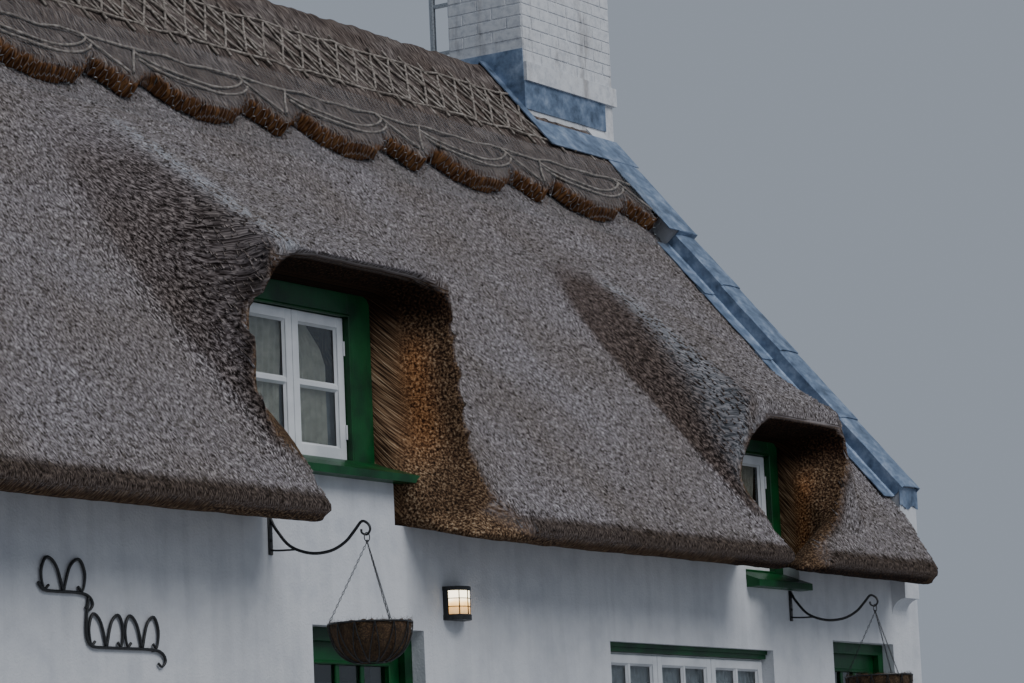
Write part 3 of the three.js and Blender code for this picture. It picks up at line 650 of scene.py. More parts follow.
# Coir: coconut fibre matted into a liner, brown and hairy.
def coir_fibre():
    f = Finish("coir_fibre", 1.0)
    fibre = f.noise(0.012, 6.0, Distortion=2.5)
    colour = f.ramp(fibre, (0.32, "1f1711"), (0.5, "4d3b2b"), (0.68, "7b6346"))
    mats = f.ramp(f.noise(0.07, 2.0), (0.3, "6b7358"), (0.7, "d2b28a"))
    f.set({"Base Color": f.times(0.4, colour, mats)})
    return f.bump(fibre, 0.006)


# Sand and cement screed on the ground floor.
SCREED = one_grain("floor_screed", 0.9, 0.02, 6.0, 0.002, (0.3, "73726f"), (0.7, "97958f"))
GLASS, BOARDS, COIR = window_glass(), pine_boards(), coir_fibre()
print("materials made:", len(bpy.data.materials))

# %% A finish for every node that keeps its shape
FINISH = {"lime_render": RENDER, "thatch": REED, "ridge_thatch": STRAW, "painted_brick": BRICK,
          "floor_screed": SCREED, "floor_boards": BOARDS, "clay_pot": CLAY, "lead": LEAD,
          "galvanised_steel": ZINC, "green_paint": GREEN, "white_paint": WHITE, "glass": GLASS,
          "black_iron": IRON, "coir": COIR}
for part in frame["record"]["subparts"]:
    node = frame["nodes"][part["node"]]
    for socket in node.material_slots:
        socket.material = FINISH[part["material_slot"]]

# %% [markdown]
# ## The thatch
# A thatched coat is one thick skin of reed, swept up over each dormer like an eyebrow and cut back
# below it. Its top is a rule: a plain slope plus a hood height that fades up the roof. The mouths
# are lofts cut out of it. Remeshing the cut solid to even small faces rounds every edge as reed is
# rounded, and gives points to carry the dressing's dips and lumps.

# %% The coat's rule
HALF_LENGTH, FRONT = 5.65, -2.45
COAT_RIGHT = 5.2797
ROOF_PITCH = math.radians(49.9)
SLOPE, COS_PITCH, SIN_PITCH = math.tan(ROOF_PITCH), math.cos(ROOF_PITCH), math.sin(ROOF_PITCH)
OVER_WALL = 3.157
COAT_THICK, WALL_THICK, WALL_TOP = 0.35, 0.35, 2.6003
GAP = 0.0003
# "flat" and "reach" are the half widths of a hood's top and foot, to its left and its right;
# "steep" is how steep a flank has to be to take painted shade, which darkens it to brown, and the
# last number is how strong that painted shade is.
HOODS = [
    {"crest": -0.84, "top": 3.907, "tail": 1.55, "flat": (0.742, 0.743), "reach": (0.897, 1.030),
     "tail_reach": 1.33, "steep": 0.55, "flank_shade_strength": 0.62},
    {"crest": 3.653, "top": 3.575, "tail": 1.30, "flat": (0.511, 0.606), "reach": (0.741, 0.772),
     "tail_reach": 1.08, "steep": 0.20, "flank_shade_strength": 0.9},
]
MOUTH_PLANE, BROW = 0.22, 0.12


def surface_z(y, rise=0.0):
    return OVER_WALL + rise / COS_PITCH + SLOPE * (y - FRONT)


def towards_tail(hood, y):
    """0 at the hood's mouth and 1 where it has sunk into the slope."""
    return np.clip((y - FRONT + MOUTH_PLANE) / (hood["tail"] + MOUTH_PLANE), 0, 1)


def hood_height(x, y):
    """The hoods' plumb height over the plain slope."""
    height = np.zeros(np.broadcast(x, y).shape)
    brow = smooth(1 + (y - FRONT + MOUTH_PLANE) / BROW)
    for hood in HOODS:
        full = hood["top"] - surface_z(FRONT - MOUTH_PLANE)
        along = towards_tail(hood, y)
        flat, reach = (np.where(x >= hood["crest"], hood[key][1], hood[key][0])
                       for key in ("flat", "reach"))
        flat = flat * (1 - along)
        reach = reach + (hood["tail_reach"] - reach) * along
        across = smooth((reach - np.abs(x - hood["crest"])) / (reach - flat))
        height = np.maximum(height, full * (1 - along) * brow * across)
    return height


EAVES_TIP, EAVES_UNDER = (-0.497, 2.567), (-0.395, 2.5)
TOP_STEPS = np.concatenate([np.linspace(-0.40, -0.05, 15), np.linspace(0.0, 1.6, 30),
                            np.linspace(1.7, 2.3, 7)])


def coat_ring(x):
    """The coat's outline at x: the eaves' tip, the top up the slope, and back under the coat."""
    top = [(FRONT + b, float(surface_z(FRONT + b) + hood_height(x, FRONT + b))) for b in TOP_STEPS]
    back = FRONT + WALL_THICK
    under = [(-GAP, surface_z(-GAP)), (-GAP, surface_z(0, -COAT_THICK)),
             (back, surface_z(back, -COAT_THICK)), (back, WALL_TOP), (FRONT, WALL_TOP),
             (FRONT + EAVES_UNDER[0], EAVES_UNDER[1])]
    return [(x, y, z) for y, z in [(FRONT + EAVES_TIP[0], EAVES_TIP[1])] + top + under]


# %% The mouths' rule
# A ring is: how far it stands out from the wall, the mouth's left, right and top there, the radii
# of its upper corners, and the left and right of its cheeks at the knee and at the eaves.
MOUTHS = {
    "dormer_1": {
        "left": -1.52, "right": -0.33, "sill": 2.90, "head": 3.80, "board": (-1.395, -0.110),
        "rings": [(-0.11, -1.52, -0.33, 3.80, (0.04, 0.04), (-1.52, -0.33), (-1.48, -0.345)),
                  (0.20, -1.672, -0.006, 3.881, (0.452, 0.407), (-1.685, 0.135), (-1.42, -0.24)),
                  (0.52, -2.131, 0.328, 4.019, (0.525, 0.343), (-1.677, 0.398), (-1.53, -0.17))]},
    "dormer_2": {
        "left": 3.35, "right": 4.03, "sill": 2.53, "head": 3.38, "board": (3.352, 4.028),
        "rings": [(-0.11, 3.35, 4.03, 3.38, (0.04, 0.04), (3.35, 4.03), (3.35, 4.03)),
                  (0.22, 2.980, 4.272, 3.432, (0.437, 0.122), (3.011, 4.030), (3.131, 3.450)),
                  (0.52, 2.836, 4.306, 3.570, (0.458, 0.148), (2.742, 3.560), (3.131, 3.200))]},
}
ARC_STEPS = 10
BELOW_EAVES, EAVES_HEIGHT = 2.3, 2.56
TUNNEL_FOOT, TUNNEL_LONG = 2.4, 1.2
BOARD_TOP, BOARD_NOSE, BOARD_FOOT, BOARD_OUT = 0.0107, 0.0447, 0.0853, 0.0903


def arc(cx, cz, radius, start, stop, steps=ARC_STEPS):
    angles = np.radians(np.linspace(start, stop, steps + 1))
    return [(cx + radius * math.cos(a), cz + radius * math.sin(a)) for a in angles]


def mouth_ring(out, left, right, top, radii, feet, toes):
    knee = surface_z(FRONT - out) + 0.010
    outline = [(toes[0], BELOW_EAVES), (toes[1], BELOW_EAVES),
               (toes[1], min(EAVES_HEIGHT, knee - 0.06)), (feet[1], knee - 0.02)]
    outline += arc(right - radii[1], top - radii[1], radii[1], 0, 90)
    outline += arc(left + radii[0], top - radii[0], radii[0], 90, 180)
    outline += [(feet[0], min(knee + 0.12, top - radii[0] - 0.01)), (toes[0], knee)]
    return [(x, FRONT - out, z) for x, z in outline]


def cutters_of(mouth):
    """The mouth itself, the tunnel to the window and the room for the sill board."""
    tunnel = boxes([(mouth["left"] - GAP, mouth["right"] + GAP, FRONT - 0.0013,
                     FRONT + TUNNEL_LONG, TUNNEL_FOOT, mouth["head"] + GAP)], bevel=0)
    board = [(0.001, BOARD_TOP), (-BOARD_OUT, BOARD_NOSE), (-BOARD_OUT, BOARD_FOOT),
             (0.001, BOARD_FOOT)]
    nose = loft([[(x, FRONT + y, mouth["sill"] - down) for y, down in board]
                 for x in (mouth["board"][0] - GAP, mouth["board"][1] + GAP)])
    return [loft([mouth_ring(*ring) for ring in mouth["rings"]]), tunnel, nose]


# %% Cut and remesh
VOXEL = 0.036
STACK_ROOM = (4.4997, 5.65, -0.3003)
HIP_OUT, HIP_BACK = 0.17, 0.29


def cut_away(mesh, cutters):
    target = placed("coat_blank", mesh)
    tools = [placed(f"cutter_{i}", cutter) for i, cutter in enumerate(cutters)]
    for tool in tools:
        modifier = target.modifiers.new("cut", "BOOLEAN")
        modifier.operation, modifier.solver, modifier.object = "DIFFERENCE", "EXACT", tool
    return taken(target, *tools)


def remeshed(mesh, voxel, rounds=2):
    blank = placed("blank", mesh)
    even = blank.modifiers.new("even", "REMESH")
    even.mode, even.voxel_size = "VOXEL", voxel
    ease = blank.modifiers.new("ease", "SMOOTH")
    ease.factor, ease.iterations = 0.5, rounds
    return taken(blank)


def coat_blank():
    near_hoods = [np.linspace(h["crest"] - 1.4, h["crest"] + 1.4, 60) for h in HOODS]
    marks = np.concatenate([np.linspace(-HALF_LENGTH, COAT_RIGHT, 120)] + near_hoods)
    marks = np.unique(np.round(marks, 4))
    marks = marks[(marks >= -HALF_LENGTH) & (marks <= COAT_RIGHT)]
    end, tip = COAT_RIGHT, FRONT + EAVES_TIP[0] - 0.001
    wedge = loft([[(end + 0.001, FRONT - HIP_OUT, z), (end + 0.001, tip, z),
                   (end - HIP_BACK, tip, z)] for z in (2, 4)])
    cutters = [boxes([(*STACK_ROOM, 0.001, 4.0, 8.0)], bevel=0), wedge]
    for mouth in MOUTHS.values():
        cutters += cutters_of(mouth)
    return cut_away(loft([coat_ring(x) for x in marks]), cutters)


coat = remeshed(coat_blank(), VOXEL)
print("coat remeshed:", len(coat.polygons), "faces")

# %% [markdown]
# The coat's points now learn what they are, from 0 to 1, and the reed's finish reads it:
# - "cut" is how far a point lies under the coat's rule, so it is 1 on the cheeks and underneath;
# - "warm" marks the middle of the cheeks and "shade" their upper parts and the undersides;
# - "butts" rises from the window to the face, where the cut reeds are seen end on;
# - "edge" darkens the outer face along the eaves and within 75 mm of a cut;
# - painted shade darkens the steep sides of the hoods, mainly those that face left, to brown, in a
#   flank field;
# - "crest" is a painted highlight: a pale line of sky light on each hood's back.
# The reed UV runs across and along the strands on each kind of face.

# %% Dress the coat
NEAR_MOUTH, NEAR_HOOD = 0.9, 1.6
EDGE_WIDTH, CREST_LEAN = 0.075, 0.62
RIM_ABOVE = 2.6


def near(mouth, x):
    return (x > mouth["left"] - NEAR_MOUTH) & (x < mouth["right"] + NEAR_MOUTH)


def fade_at_ends(x):
    """0 at the coat's two ends and 1 a little way in, so that its ends stay flat."""
    return smooth((x + HALF_LENGTH - 0.02) / 0.1) * smooth((COAT_RIGHT - 0.02 - x) / 0.1)


def cheek_fields(points, normals):
    x, y, z = points.T
    out, hood_rise = FRONT - y, hood_height(x, y)
    warm, flank, crest, shade, butts = (np.zeros(len(points)) for _ in range(5))
    down = smooth((-normals[:, 2] - 0.1) / 0.4)
    for mouth, hood in zip(MOUTHS.values(), HOODS):
        here = near(mouth, x)
        height = (z - mouth["sill"]) / (mouth["head"] - mouth["sill"])
        band = np.exp(-((out - 0.05) / 0.06) ** 2)
        band *= smooth((0.90 - height) / 0.3) * smooth((height + 0.1) / 0.4)
        warm = np.maximum(warm, np.where(here & (x > hood["crest"]), band, 0))
        butts = np.maximum(butts, np.where(here, smooth((out + 0.04) / 0.08), 0))
        dark = np.maximum(smooth((height - 0.62) / 0.34), 0.5 * smooth((out - 0.07) / 0.08))
        over_sill = here & (z > mouth["sill"] - 0.25)
        shade = np.maximum(shade, np.where(over_sill, np.maximum(dark, down), 0.45 * down))
        # Painted shade: a hood's steep flanks, mainly those that face left, darken by the way they
        # face.
        side = np.maximum(-normals[:, 0], 0.4 * normals[:, 0])
        side *= smooth((hood_rise - 0.01) / (0.22 * hood["steep"]))
        flank_shade_strength = hood["flank_shade_strength"] * smooth(side / hood["steep"])
        flank = np.maximum(flank, np.where(np.abs(x - hood["crest"]) < NEAR_HOOD, flank_shade_strength, 0))
        # Painted highlight: the pale line of sky light along each hood's back.
        ridge_x = hood["crest"] - CREST_LEAN * (1 - towards_tail(hood, y))
        line = np.exp(-((x - ridge_x) / 0.10) ** 2)
        crest = np.maximum(crest, line * smooth((hood_rise - 0.05) / 0.2))
    on_cut = {"warm": 0.8 * warm, "butts": butts, "shade": 0.92 * shade}
    return on_cut, {"flank": flank, "crest": 0.4 * crest}


def edge_field(points, cut, outer):
    """1 along the eaves and at a cut, falling to 0 away from them."""
    out = FRONT - points[:, 1]
    rim_points = points[(cut > 0.5) & (points[:, 2] > RIM_ABOVE)]
    rims = KDTree(len(rim_points))
    for i, rim in enumerate(rim_points):
        rims.insert(rim, i)
    rims.balance()
    edge = smooth((2.68 - points[:, 2]) / 0.07) * (out > 0.3)
    for i in np.flatnonzero(outer & (out > -0.3)):
        edge[i] = max(edge[i], 1 - min(rims.find(points[i])[2] / EDGE_WIDTH, 1))
    return smooth(edge)


def dress(mesh):
    points, normals = points_of(mesh), normals_of(mesh)
    x, y, z = points.T
    depth = (surface_z(y) + hood_height(x, y) - z) * COS_PITCH
    outer = (depth < 0.05) & (normals[:, 2] > 0.05) & (y < -0.05)
    inside = (y > FRONT + 0.13) & (depth > 0.12)
    cut = np.clip((depth - 0.015) / 0.05, 0, 1)
    roll = relief(points, 1, (0.75, 0.014), (0.22, 0.008), (0.09, 0.004))
    moved = roll * (1 - 0.5 * cut) + relief(points, 4, (0.06, 0.003))
    against_wall = (y > FRONT - 0.12) & (cut > 0.5)
    moved = np.where(inside | against_wall, 0.0, moved)
    moved *= fade_at_ends(x) * smooth((-0.02 - y) / 0.1)
    set_points(mesh, points + normals * moved[:, None])
    on_cut, on_outer = cheek_fields(points, normals)
    on_outer["edge"] = edge_field(points, cut, outer)
    set_fields(mesh, cut=cut, inside=inside.astype(float), outer=outer.astype(float),
               **{name: values * cut for name, values in on_cut.items()},
               **{name: values * (1 - cut) for name, values in on_outer.items()})
    set_flow(mesh, normals, np.array((0, -COS_PITCH, -SIN_PITCH)))
    map_reed(mesh, depth)


def map_reed(mesh, depth):
    """Strands run down the slope, up the cheeks square to it, and outwards under the eaves."""
    corners = corners_of(mesh)
    sizes = read(mesh.polygons, "loop_total", kind=np.int32)
    owner = np.repeat(np.arange(len(sizes)), sizes)
    deep = np.zeros(len(sizes))
    np.add.at(deep, owner, depth[corners])
    deep = (deep / sizes)[owner] > 0.03
    x, y, z = points_of(mesh)[corners].T
    cheek = deep & (y < FRONT + 0.3) & (z > 2.62)
    across, along = x, (z - OVER_WALL) / SIN_PITCH
    for mouth in MOUTHS.values():
        here = cheek & near(mouth, x)
        across = np.where(here, (z - OVER_WALL) * COS_PITCH - (y - FRONT) * SIN_PITCH, across)
        along = np.where(here, (z - OVER_WALL) * SIN_PITCH + (y - FRONT) * COS_PITCH, along)
    along = np.where(deep & ~cheek, (FRONT - y) * 3.0, along)
    set_reed_map(mesh, None, across, along)


INNER_SHARE_LEFT_OUT = 0.88


def thinned(mesh):
    """The hidden inner faces become fewer and larger; the dressed faces keep theirs."""
    shape = placed("coat_shape", mesh)
    group = shape.vertex_groups.new(name="hidden")
    inside = read(mesh.attributes["inside"].data, "value") > 0.5
    share = float(inside.mean())
    group.add(np.flatnonzero(inside).tolist(), 1.0, "REPLACE")
    fewer = shape.modifiers.new("fewer", "DECIMATE")
    fewer.ratio = 1 - INNER_SHARE_LEFT_OUT * share
    fewer.vertex_group, fewer.vertex_group_factor = "hidden", 1000.0
    print("hidden share", round(share, 2), "faces before", len(mesh.polygons))
    return taken(shape)


dress(coat)
coat = thinned(coat)
coat_rear = mirrored(coat)
for end, skin in (("front", coat), ("rear", coat_rear)):
    piece(f"thatch_{end}_coat", skin, REED, stands_for=[f"thatch_{end}"], smooth=True)

# %% [markdown]
# The reeds' cut ends stand a few millimetres proud all over the coat. Each is a four-faced
# splinter: its point is buried up the slope and its small end face looks down it. The tree
# scatters them where "outer" is 1 and turns each one to the coat's "flow".

# %% Reed ends
END_LENGTH, END_WIDTH = 0.060, 0.012
SPLINTER_FACES = [(0, 2, 1), (0, 3, 2), (0, 1, 3), (1, 2, 3)]


def reed_end():
    w = END_WIDTH / 2
    return mesh_of([(0, 0, -END_LENGTH), (-w, -0.2 * w, 0), (w, -0.2 * w, 0), (0, 1.3 * w, 0)],
                   SPLINTER_FACES)


def strand_grower():
    g = Grower("reed_ends", {"Ends per square metre": 950.0, "Lift": 0.16, "Stray": 0.22,
                             "Seed": 7, "Strand": "object"})
    density = g.maths("MULTIPLY", g.field("outer", "FLOAT"), g.size["Ends per square metre"])
    spread = g.add("GeometryNodeDistributePointsOnFaces",
                   {"Mesh": g.size["Geometry"], "Density": density, "Seed": g.size["Seed"]})
    way = g.plus(g.field("flow"), g.scaled(spread["Normal"], g.size["Lift"]))
    way = g.plus(way, g.stray(g.size["Stray"]))
    turned_to = g.add("FunctionNodeAlignRotationToVector", {"Vector": way}, axis="Z")[0]
    faced = g.add("FunctionNodeAlignRotationToVector",
                  {"Rotation": turned_to, "Vector": spread["Normal"]}, axis="Y", pivot_axis="Z")[0]
    length = g.add("FunctionNodeRandomValue", {2: 0.6, 3: 1.25, "Seed": g.size["Seed"]},
                   data_type="FLOAT")[1]
    return g.end(g.copies(spread["Points"], "Strand", Rotation=faced, Scale=length))


strand_tree = strand_grower()
end_shape = placed("reed_end", reed_end())
for end, skin, density, seed in (("front", coat, 950.0, 7), ("rear", coat_rear, 600.0, 11)):
    ends = strand_tree.grow(skin.copy(), {"Ends per square metre": density, "Seed": seed,
                                          "Strand": end_shape, "Finish": BUTTS})
    piece(f"thatch_{end}_reed_ends", ends, BUTTS)
bpy.data.objects.remove(end_shape)

# %% [markdown]
# ## The ridge
# The ridge is a second, thicker coat of straw bent over the top and cut to a pattern of round lobes
# with points between them. Its outline is a list of arcs in the slope's own plane. Split hazel rods
# hold it down, and wire netting covers the lobes and their cut edges.

# %% Ridge coat
RIDGE_THICK = 0.130
LOBE_PITCH, LOBE_PHASE, LOBE_HALF = 1.395, 0.265, 0.40
SHOULDER_RUN, LOBE_RUN, POINT_RUN = 2.72, 2.48, 2.49
RIDGE_VOXEL = 0.034


def on_slope(x, run, rise, rear=False):
    """A point from the distance up the slope and the height square to it."""
    y = FRONT + run * COS_PITCH - rise * SIN_PITCH
    return (x, -y if rear else y, OVER_WALL + run * SIN_PITCH + rise * COS_PITCH)


def skirt_line():
    line = []
    for n in range(-6, 5):
        centre = LOBE_PHASE + n * LOBE_PITCH
        for angle in (math.pi * i / 16 for i in range(17)):
            line.append((centre - LOBE_HALF * math.cos(angle),
                         SHOULDER_RUN - (SHOULDER_RUN - LOBE_RUN) * math.sin(angle) ** 0.8))
        line.append((centre + LOBE_PITCH / 2, POINT_RUN))
    inner = [p for p in line if -HALF_LENGTH < p[0] < COAT_RIGHT]
    first, last = np.interp([-HALF_LENGTH, COAT_RIGHT], *zip(*line))
    return [(-HALF_LENGTH, float(first))] + inner + [(COAT_RIGHT, float(last))]


SKIRT = skirt_line()


def ridge_blank():
    layers = []
    for rise, ease in ((GAP, 0.0), (RIDGE_THICK - 0.03, 0.0), (RIDGE_THICK, 0.012)):
        top_run = (-FRONT + rise * SIN_PITCH) / COS_PITCH
        outline = [(x, run + ease) for x, run in SKIRT]
        outline += [(COAT_RIGHT, top_run), (-HALF_LENGTH, top_run)]
        layers.append([on_slope(x, run, rise) for x, run in outline])
    half = cut_away(loft(layers), [boxes([(*STACK_ROOM, 0.1, 4.0, 8.0)], bevel=0)])
    return joined([half, mirrored(half)])


def dress_ridge(mesh):
    points, normals = points_of(mesh), normals_of(mesh)
    x, y, z = points.T
    side = np.where(y > 0, -1.0, 1.0)
    front_y = -np.abs(y)
    rise = (z - OVER_WALL) * COS_PITCH - (front_y - FRONT) * SIN_PITCH
    run = (z - OVER_WALL) * SIN_PITCH + (front_y - FRONT) * COS_PITCH
    upward = -normals[:, 1] * side * SIN_PITCH + normals[:, 2] * COS_PITCH
    cut = smooth((0.80 - upward) / 0.25) * (run < 3.0)
    inside = rise < 0.02
    roll = relief(points, 21, (0.30, 0.012), (0.10, 0.010), (0.05, 0.006))
    ends = fade_at_ends(x)
    moved = np.where(inside, 0.0, roll * ends - 0.006 * ends)
    set_points(mesh, points + normals * moved[:, None])
    set_fields(mesh, cut=cut, inside=inside.astype(float))
    set_reed_map(mesh, corners_of(mesh), x + 0.05 * lumps(points, 0.35, 24), run + rise)


ridge = remeshed(ridge_blank(), RIDGE_VOXEL)
dress_ridge(ridge)
ridge = thinned(ridge)
piece("ridge_coat", ridge, STRAW, stands_for=["ridge_cap"], smooth=True)

# %% Hazel rods
RAIL_RUNS = (3.62, 3.16, 2.86)
UPRIGHT_SPACING = 0.19
ROD_RADIUS, ROD_STEP = 0.009, 0.12
ROD_ENDS = (-HALF_LENGTH + 0.05, COAT_RIGHT - 0.05)
BY_STACK, TOPMOST_RUN = 4.42, 3.82
CROSS_RUNS, CROSS_LEAN = (3.60, 3.18), 0.34


def rod_lines():
    """Lines of (x, run) for the rails, uprights, crosses and the curved rods on the lobes."""
    left, right = ROD_ENDS
    lines = []
    wobble = [0.012 * math.sin(i * 2.7) for i in range(64)]
    for k, run in enumerate(RAIL_RUNS):
        steps = np.linspace(left, right if run < 3.2 else BY_STACK, 60)
        lines.append([(x, run + wobble[(i + 7 * k) % 64]) for i, x in enumerate(steps)])
    for i, x in enumerate(np.arange(left + 0.06, right, UPRIGHT_SPACING)):
        lines.append([(x + 0.02 * math.sin(i * 1.9), 3.70 if x < 4.40 else 3.24),
                      (x + 0.015 * math.sin(i * 3.1), 3.10 - 0.04 * (i % 2))])
        if x < 4.2:
            high, low = CROSS_RUNS
            lines += [[(x, high), (x + CROSS_LEAN, low)], [(x + CROSS_LEAN, high), (x, low)]]
    for n in range(-5, 5):
        centre = LOBE_PHASE + n * LOBE_PITCH
        for inset in (0.09, 0.15):
            bow = SHOULDER_RUN - LOBE_RUN - 0.02
            lines.append([(centre - (LOBE_HALF + 0.12) * math.cos(a),
                           SHOULDER_RUN + inset + 0.03 - bow * math.sin(a))
                          for a in np.radians(np.linspace(20, 160, 15))])
        tip = centre + LOBE_PITCH / 2
        for side in (-1, 1):
            lines.append([(tip + side * 0.24, SHOULDER_RUN + 0.14),
                          (tip + side * 0.02, POINT_RUN + 0.10)])
    kept = ([p for p in line if left <= p[0] <= right] for line in lines)
    return [line for line in kept if len(line) > 1]


def chained(rows):
    """A carrier mesh of open lines, each a row of points."""
    points, edges = [], []
    for row in rows:
        edges += [(i, i + 1) for i in range(len(points), len(points) + len(row) - 1)]
        points += row
    return mesh_of(points, edges=edges)


def rod_carrier(rear):
    rows = []
    for line in rod_lines():
        dense = []
        for (x0, r0), (x1, r1) in zip(line, line[1:]):
            steps = max(1, int(math.hypot(x1 - x0, r1 - r0) / ROD_STEP))
            dense += [(x0 + (x1 - x0) * i / steps, r0 + (r1 - r0) * i / steps)
                      for i in range(steps)]
        rows.append([on_slope(x, min(run, TOPMOST_RUN), RIDGE_THICK + 0.003
                              + 0.006 * math.sin(9 * x + 5 * run), rear)
                     for x, run in dense + [line[-1]]])
    return chained(rows)


def rod_grower():
    g = Grower("hazel_rods", {"Rod radius": ROD_RADIUS, "Sides": 5})
    ring = g.add("GeometryNodeCurvePrimitiveCircle",
                 {"Resolution": g.size["Sides"], "Radius": g.size["Rod radius"]})[0]
    return g.end(g.add("GeometryNodeCurveToMesh",
                       {"Curve": g.curve(), "Profile Curve": ring, "Fill Caps": True})[0])


rod_tree = rod_grower()
for end in ("front", "rear"):
    rods = rod_tree.grow(rod_carrier(end == "rear"), {"Finish": HAZEL})
    piece(f"ridge_{end}_hazel_rods", rods, HAZEL)

# %% Wire netting
# Netting for thatch has a hexagon mesh of about 25 mm. It is drawn at 36 mm, with wire 2 mm thick,
# so that it shows. It lies on the lobes, hangs over their cut edge and ends on the reed below.
MESH_SIZE, WIRE = 0.036, 0.0011
NET_RUNS, NET_END = (2.36, 3.02), 0.03


def wire_link():
    """Three short wires that meet: the repeat of a hexagon net, centred on the joint."""
    arm = MESH_SIZE / math.sqrt(3)
    points, faces = [], []
    for a in (math.radians(angle) for angle in (90, 210, 330)):
        way = np.array((math.cos(a), math.sin(a), 0))
        side = np.array((-math.sin(a), math.cos(a), 0))
        start = len(points)
        ring = [way * arm / 2 + WIRE * (side * math.cos(t) + np.array((0, 0, 1)) * math.sin(t))
                for t in np.radians((90, 210, 330))]
        points += [way * -WIRE, *ring, way * arm]
        for i, j in ((0, 1), (1, 2), (2, 0)):
            faces += [(start, start + 1 + j, start + 1 + i),
                      (start + 4, start + 1 + i, start + 1 + j)]
    return mesh_of(points, faces)


def net_rise(x, run, lift):
    """Height of the net over the reed, square to the slope."""
    edge = np.interp(x, *zip(*SKIRT))
    over_lobes = (RIDGE_THICK + 0.004) * smooth((run - edge + 0.075) / 0.09)
    over_hoods = hood_height(x, FRONT + run * COS_PITCH) * COS_PITCH * (run < 2.5)
    return 0.012 + over_lobes + lift + over_hoods


def net_points():
    left, right = -HALF_LENGTH + NET_END, COAT_RIGHT - NET_END
    return [(x, run, 0) for j, run in enumerate(np.arange(*NET_RUNS, MESH_SIZE * math.sqrt(3) / 2))
            for x in np.arange(left + (j % 2) * MESH_SIZE / 2, right, MESH_SIZE)]


def netting():
    g = Grower("wire_net", {"Wire link": "object"})
    g.end(g.copies(g.size["Geometry"], "Wire link"))
    shape = placed("wire_link", wire_link())
    flat = g.grow(mesh_of(net_points()), {"Wire link": shape, "Finish": ZINC})
    bpy.data.objects.remove(shape)
    x, run, lift = points_of(flat).T
    set_points(flat, np.stack(on_slope(x, run, net_rise(x, run, lift)), 1))
    return flat


net_front = netting()
for end, net in (("front", net_front), ("rear", mirrored(net_front))):
    piece(f"ridge_{end}_netting", net, ZINC)

# %% [markdown]
# ## The windows
# The dormers have heavy green frames with thin white sashes set 30 mm back. Each sash is stiles,
# rails and bars with a sloped putty line round every pane. The ground floor windows are rows of
# white casements that all but touch, with the mullions hidden behind them. A moulding round a
# rectangle is one profile carried round four mitred corners.

# %% Mouldings, putty and casements
PUTTY = 0.011
PANE_GAP = 0.0008
LAP = 0.001


def surround(x0, x1, z0, z1, profile):
    """A mitred moulding round a rectangle; the profile is a closed row of (outwards, y)."""
    corners = ((x0, -1, z0, -1), (x1, 1, z0, -1), (x1, 1, z1, 1), (x0, -1, z1, 1))
    return loft([[(x + a * out, y, z + b * out) for x, a, z, b in corners] for out, y in profile],
                hoop=True)


def casement(x0, x1, z0, z1, front, back, stile, top, bottom, columns, rows, bar_width=0.021):
    """One glazed casement in front of its glass, with bars and putty."""
    half = bar_width / 2
    in0, in1, low, high = x0 + stile, x1 - stile, z0 + bottom, z1 - top
    edges_x, edges_z = np.linspace(in0, in1, columns + 1), np.linspace(low, high, rows + 1)
    wood = [(x0, in0, front, back, z0, z1), (in1, x1, front, back, z0, z1),
            (in0 - LAP, in1 + LAP, front + 0.0005, back, high, z1 - 0.0005),
            (in0 - LAP, in1 + LAP, front + 0.0005, back, z0 + 0.0005, low)]
    wood += [(x - half, x + half, front + 0.003, back - 0.0005, low - LAP, high + LAP)
             for x in edges_x[1:-1]]
    wood += [(in0 - LAP, in1 + LAP, front + 0.0035, back - 0.001, z - half, z + half)
             for z in edges_z[1:-1]]
    profile = [(LAP, front + 0.006), (-PUTTY, back - PANE_GAP), (LAP, back - PANE_GAP)]
    spans_x, spans_z = (
        [(a + (half if i else 0), b - (half if i < len(edges) - 2 else 0))
         for i, (a, b) in enumerate(zip(edges, edges[1:]))] for edges in (edges_x, edges_z))
    panes = [surround(*across, *up, profile) for across in spans_x for up in spans_z]
    return [boxes(wood, 0.0025)] + panes


def round_bar(x, y, z0, z1, radius):
    return loft([[(x + radius * math.cos(a), y + radius * math.sin(a), z) for a in turns(10)]
                 for z in (z0, z1)])


# %% Dormer windows
DORMERS = {"dormer_1": {"hole": (-1.415, -0.527, 2.920, 3.675), "sashes": 2},
           "dormer_2": {"hole": (3.400, 3.915, 2.570, 3.290), "sashes": 1}}
SASH_SET_BACK = 0.030
BEAD = [(-0.001, 0.010), (-0.001, -0.003), (0.006, -0.007), (0.014, -0.003), (0.016, 0.010)]
SASH_STILE, SASH_TOP, SASH_FOOT, SASH_BAR = 0.052, 0.056, 0.070, 0.024
HINGE_RADIUS, HINGE_LONG = 0.006, 0.075


def dormer_frame(name, hole):
    (x0, y0, z0), (x1, y1, z1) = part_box(f"{name}_frame")
    hx0, hx1, hz0, hz1 = hole
    posts = boxes([(x0, hx0, y0, y1, z0, z1), (hx1, x1, y0, y1, z0, z1),
                   (hx0, hx1, y0, y1, hz1, z1), (hx0, hx1, y0, y1, z0, hz0)])
    return joined([posts, surround(*hole, [(out, y0 + back) for out, back in BEAD])])


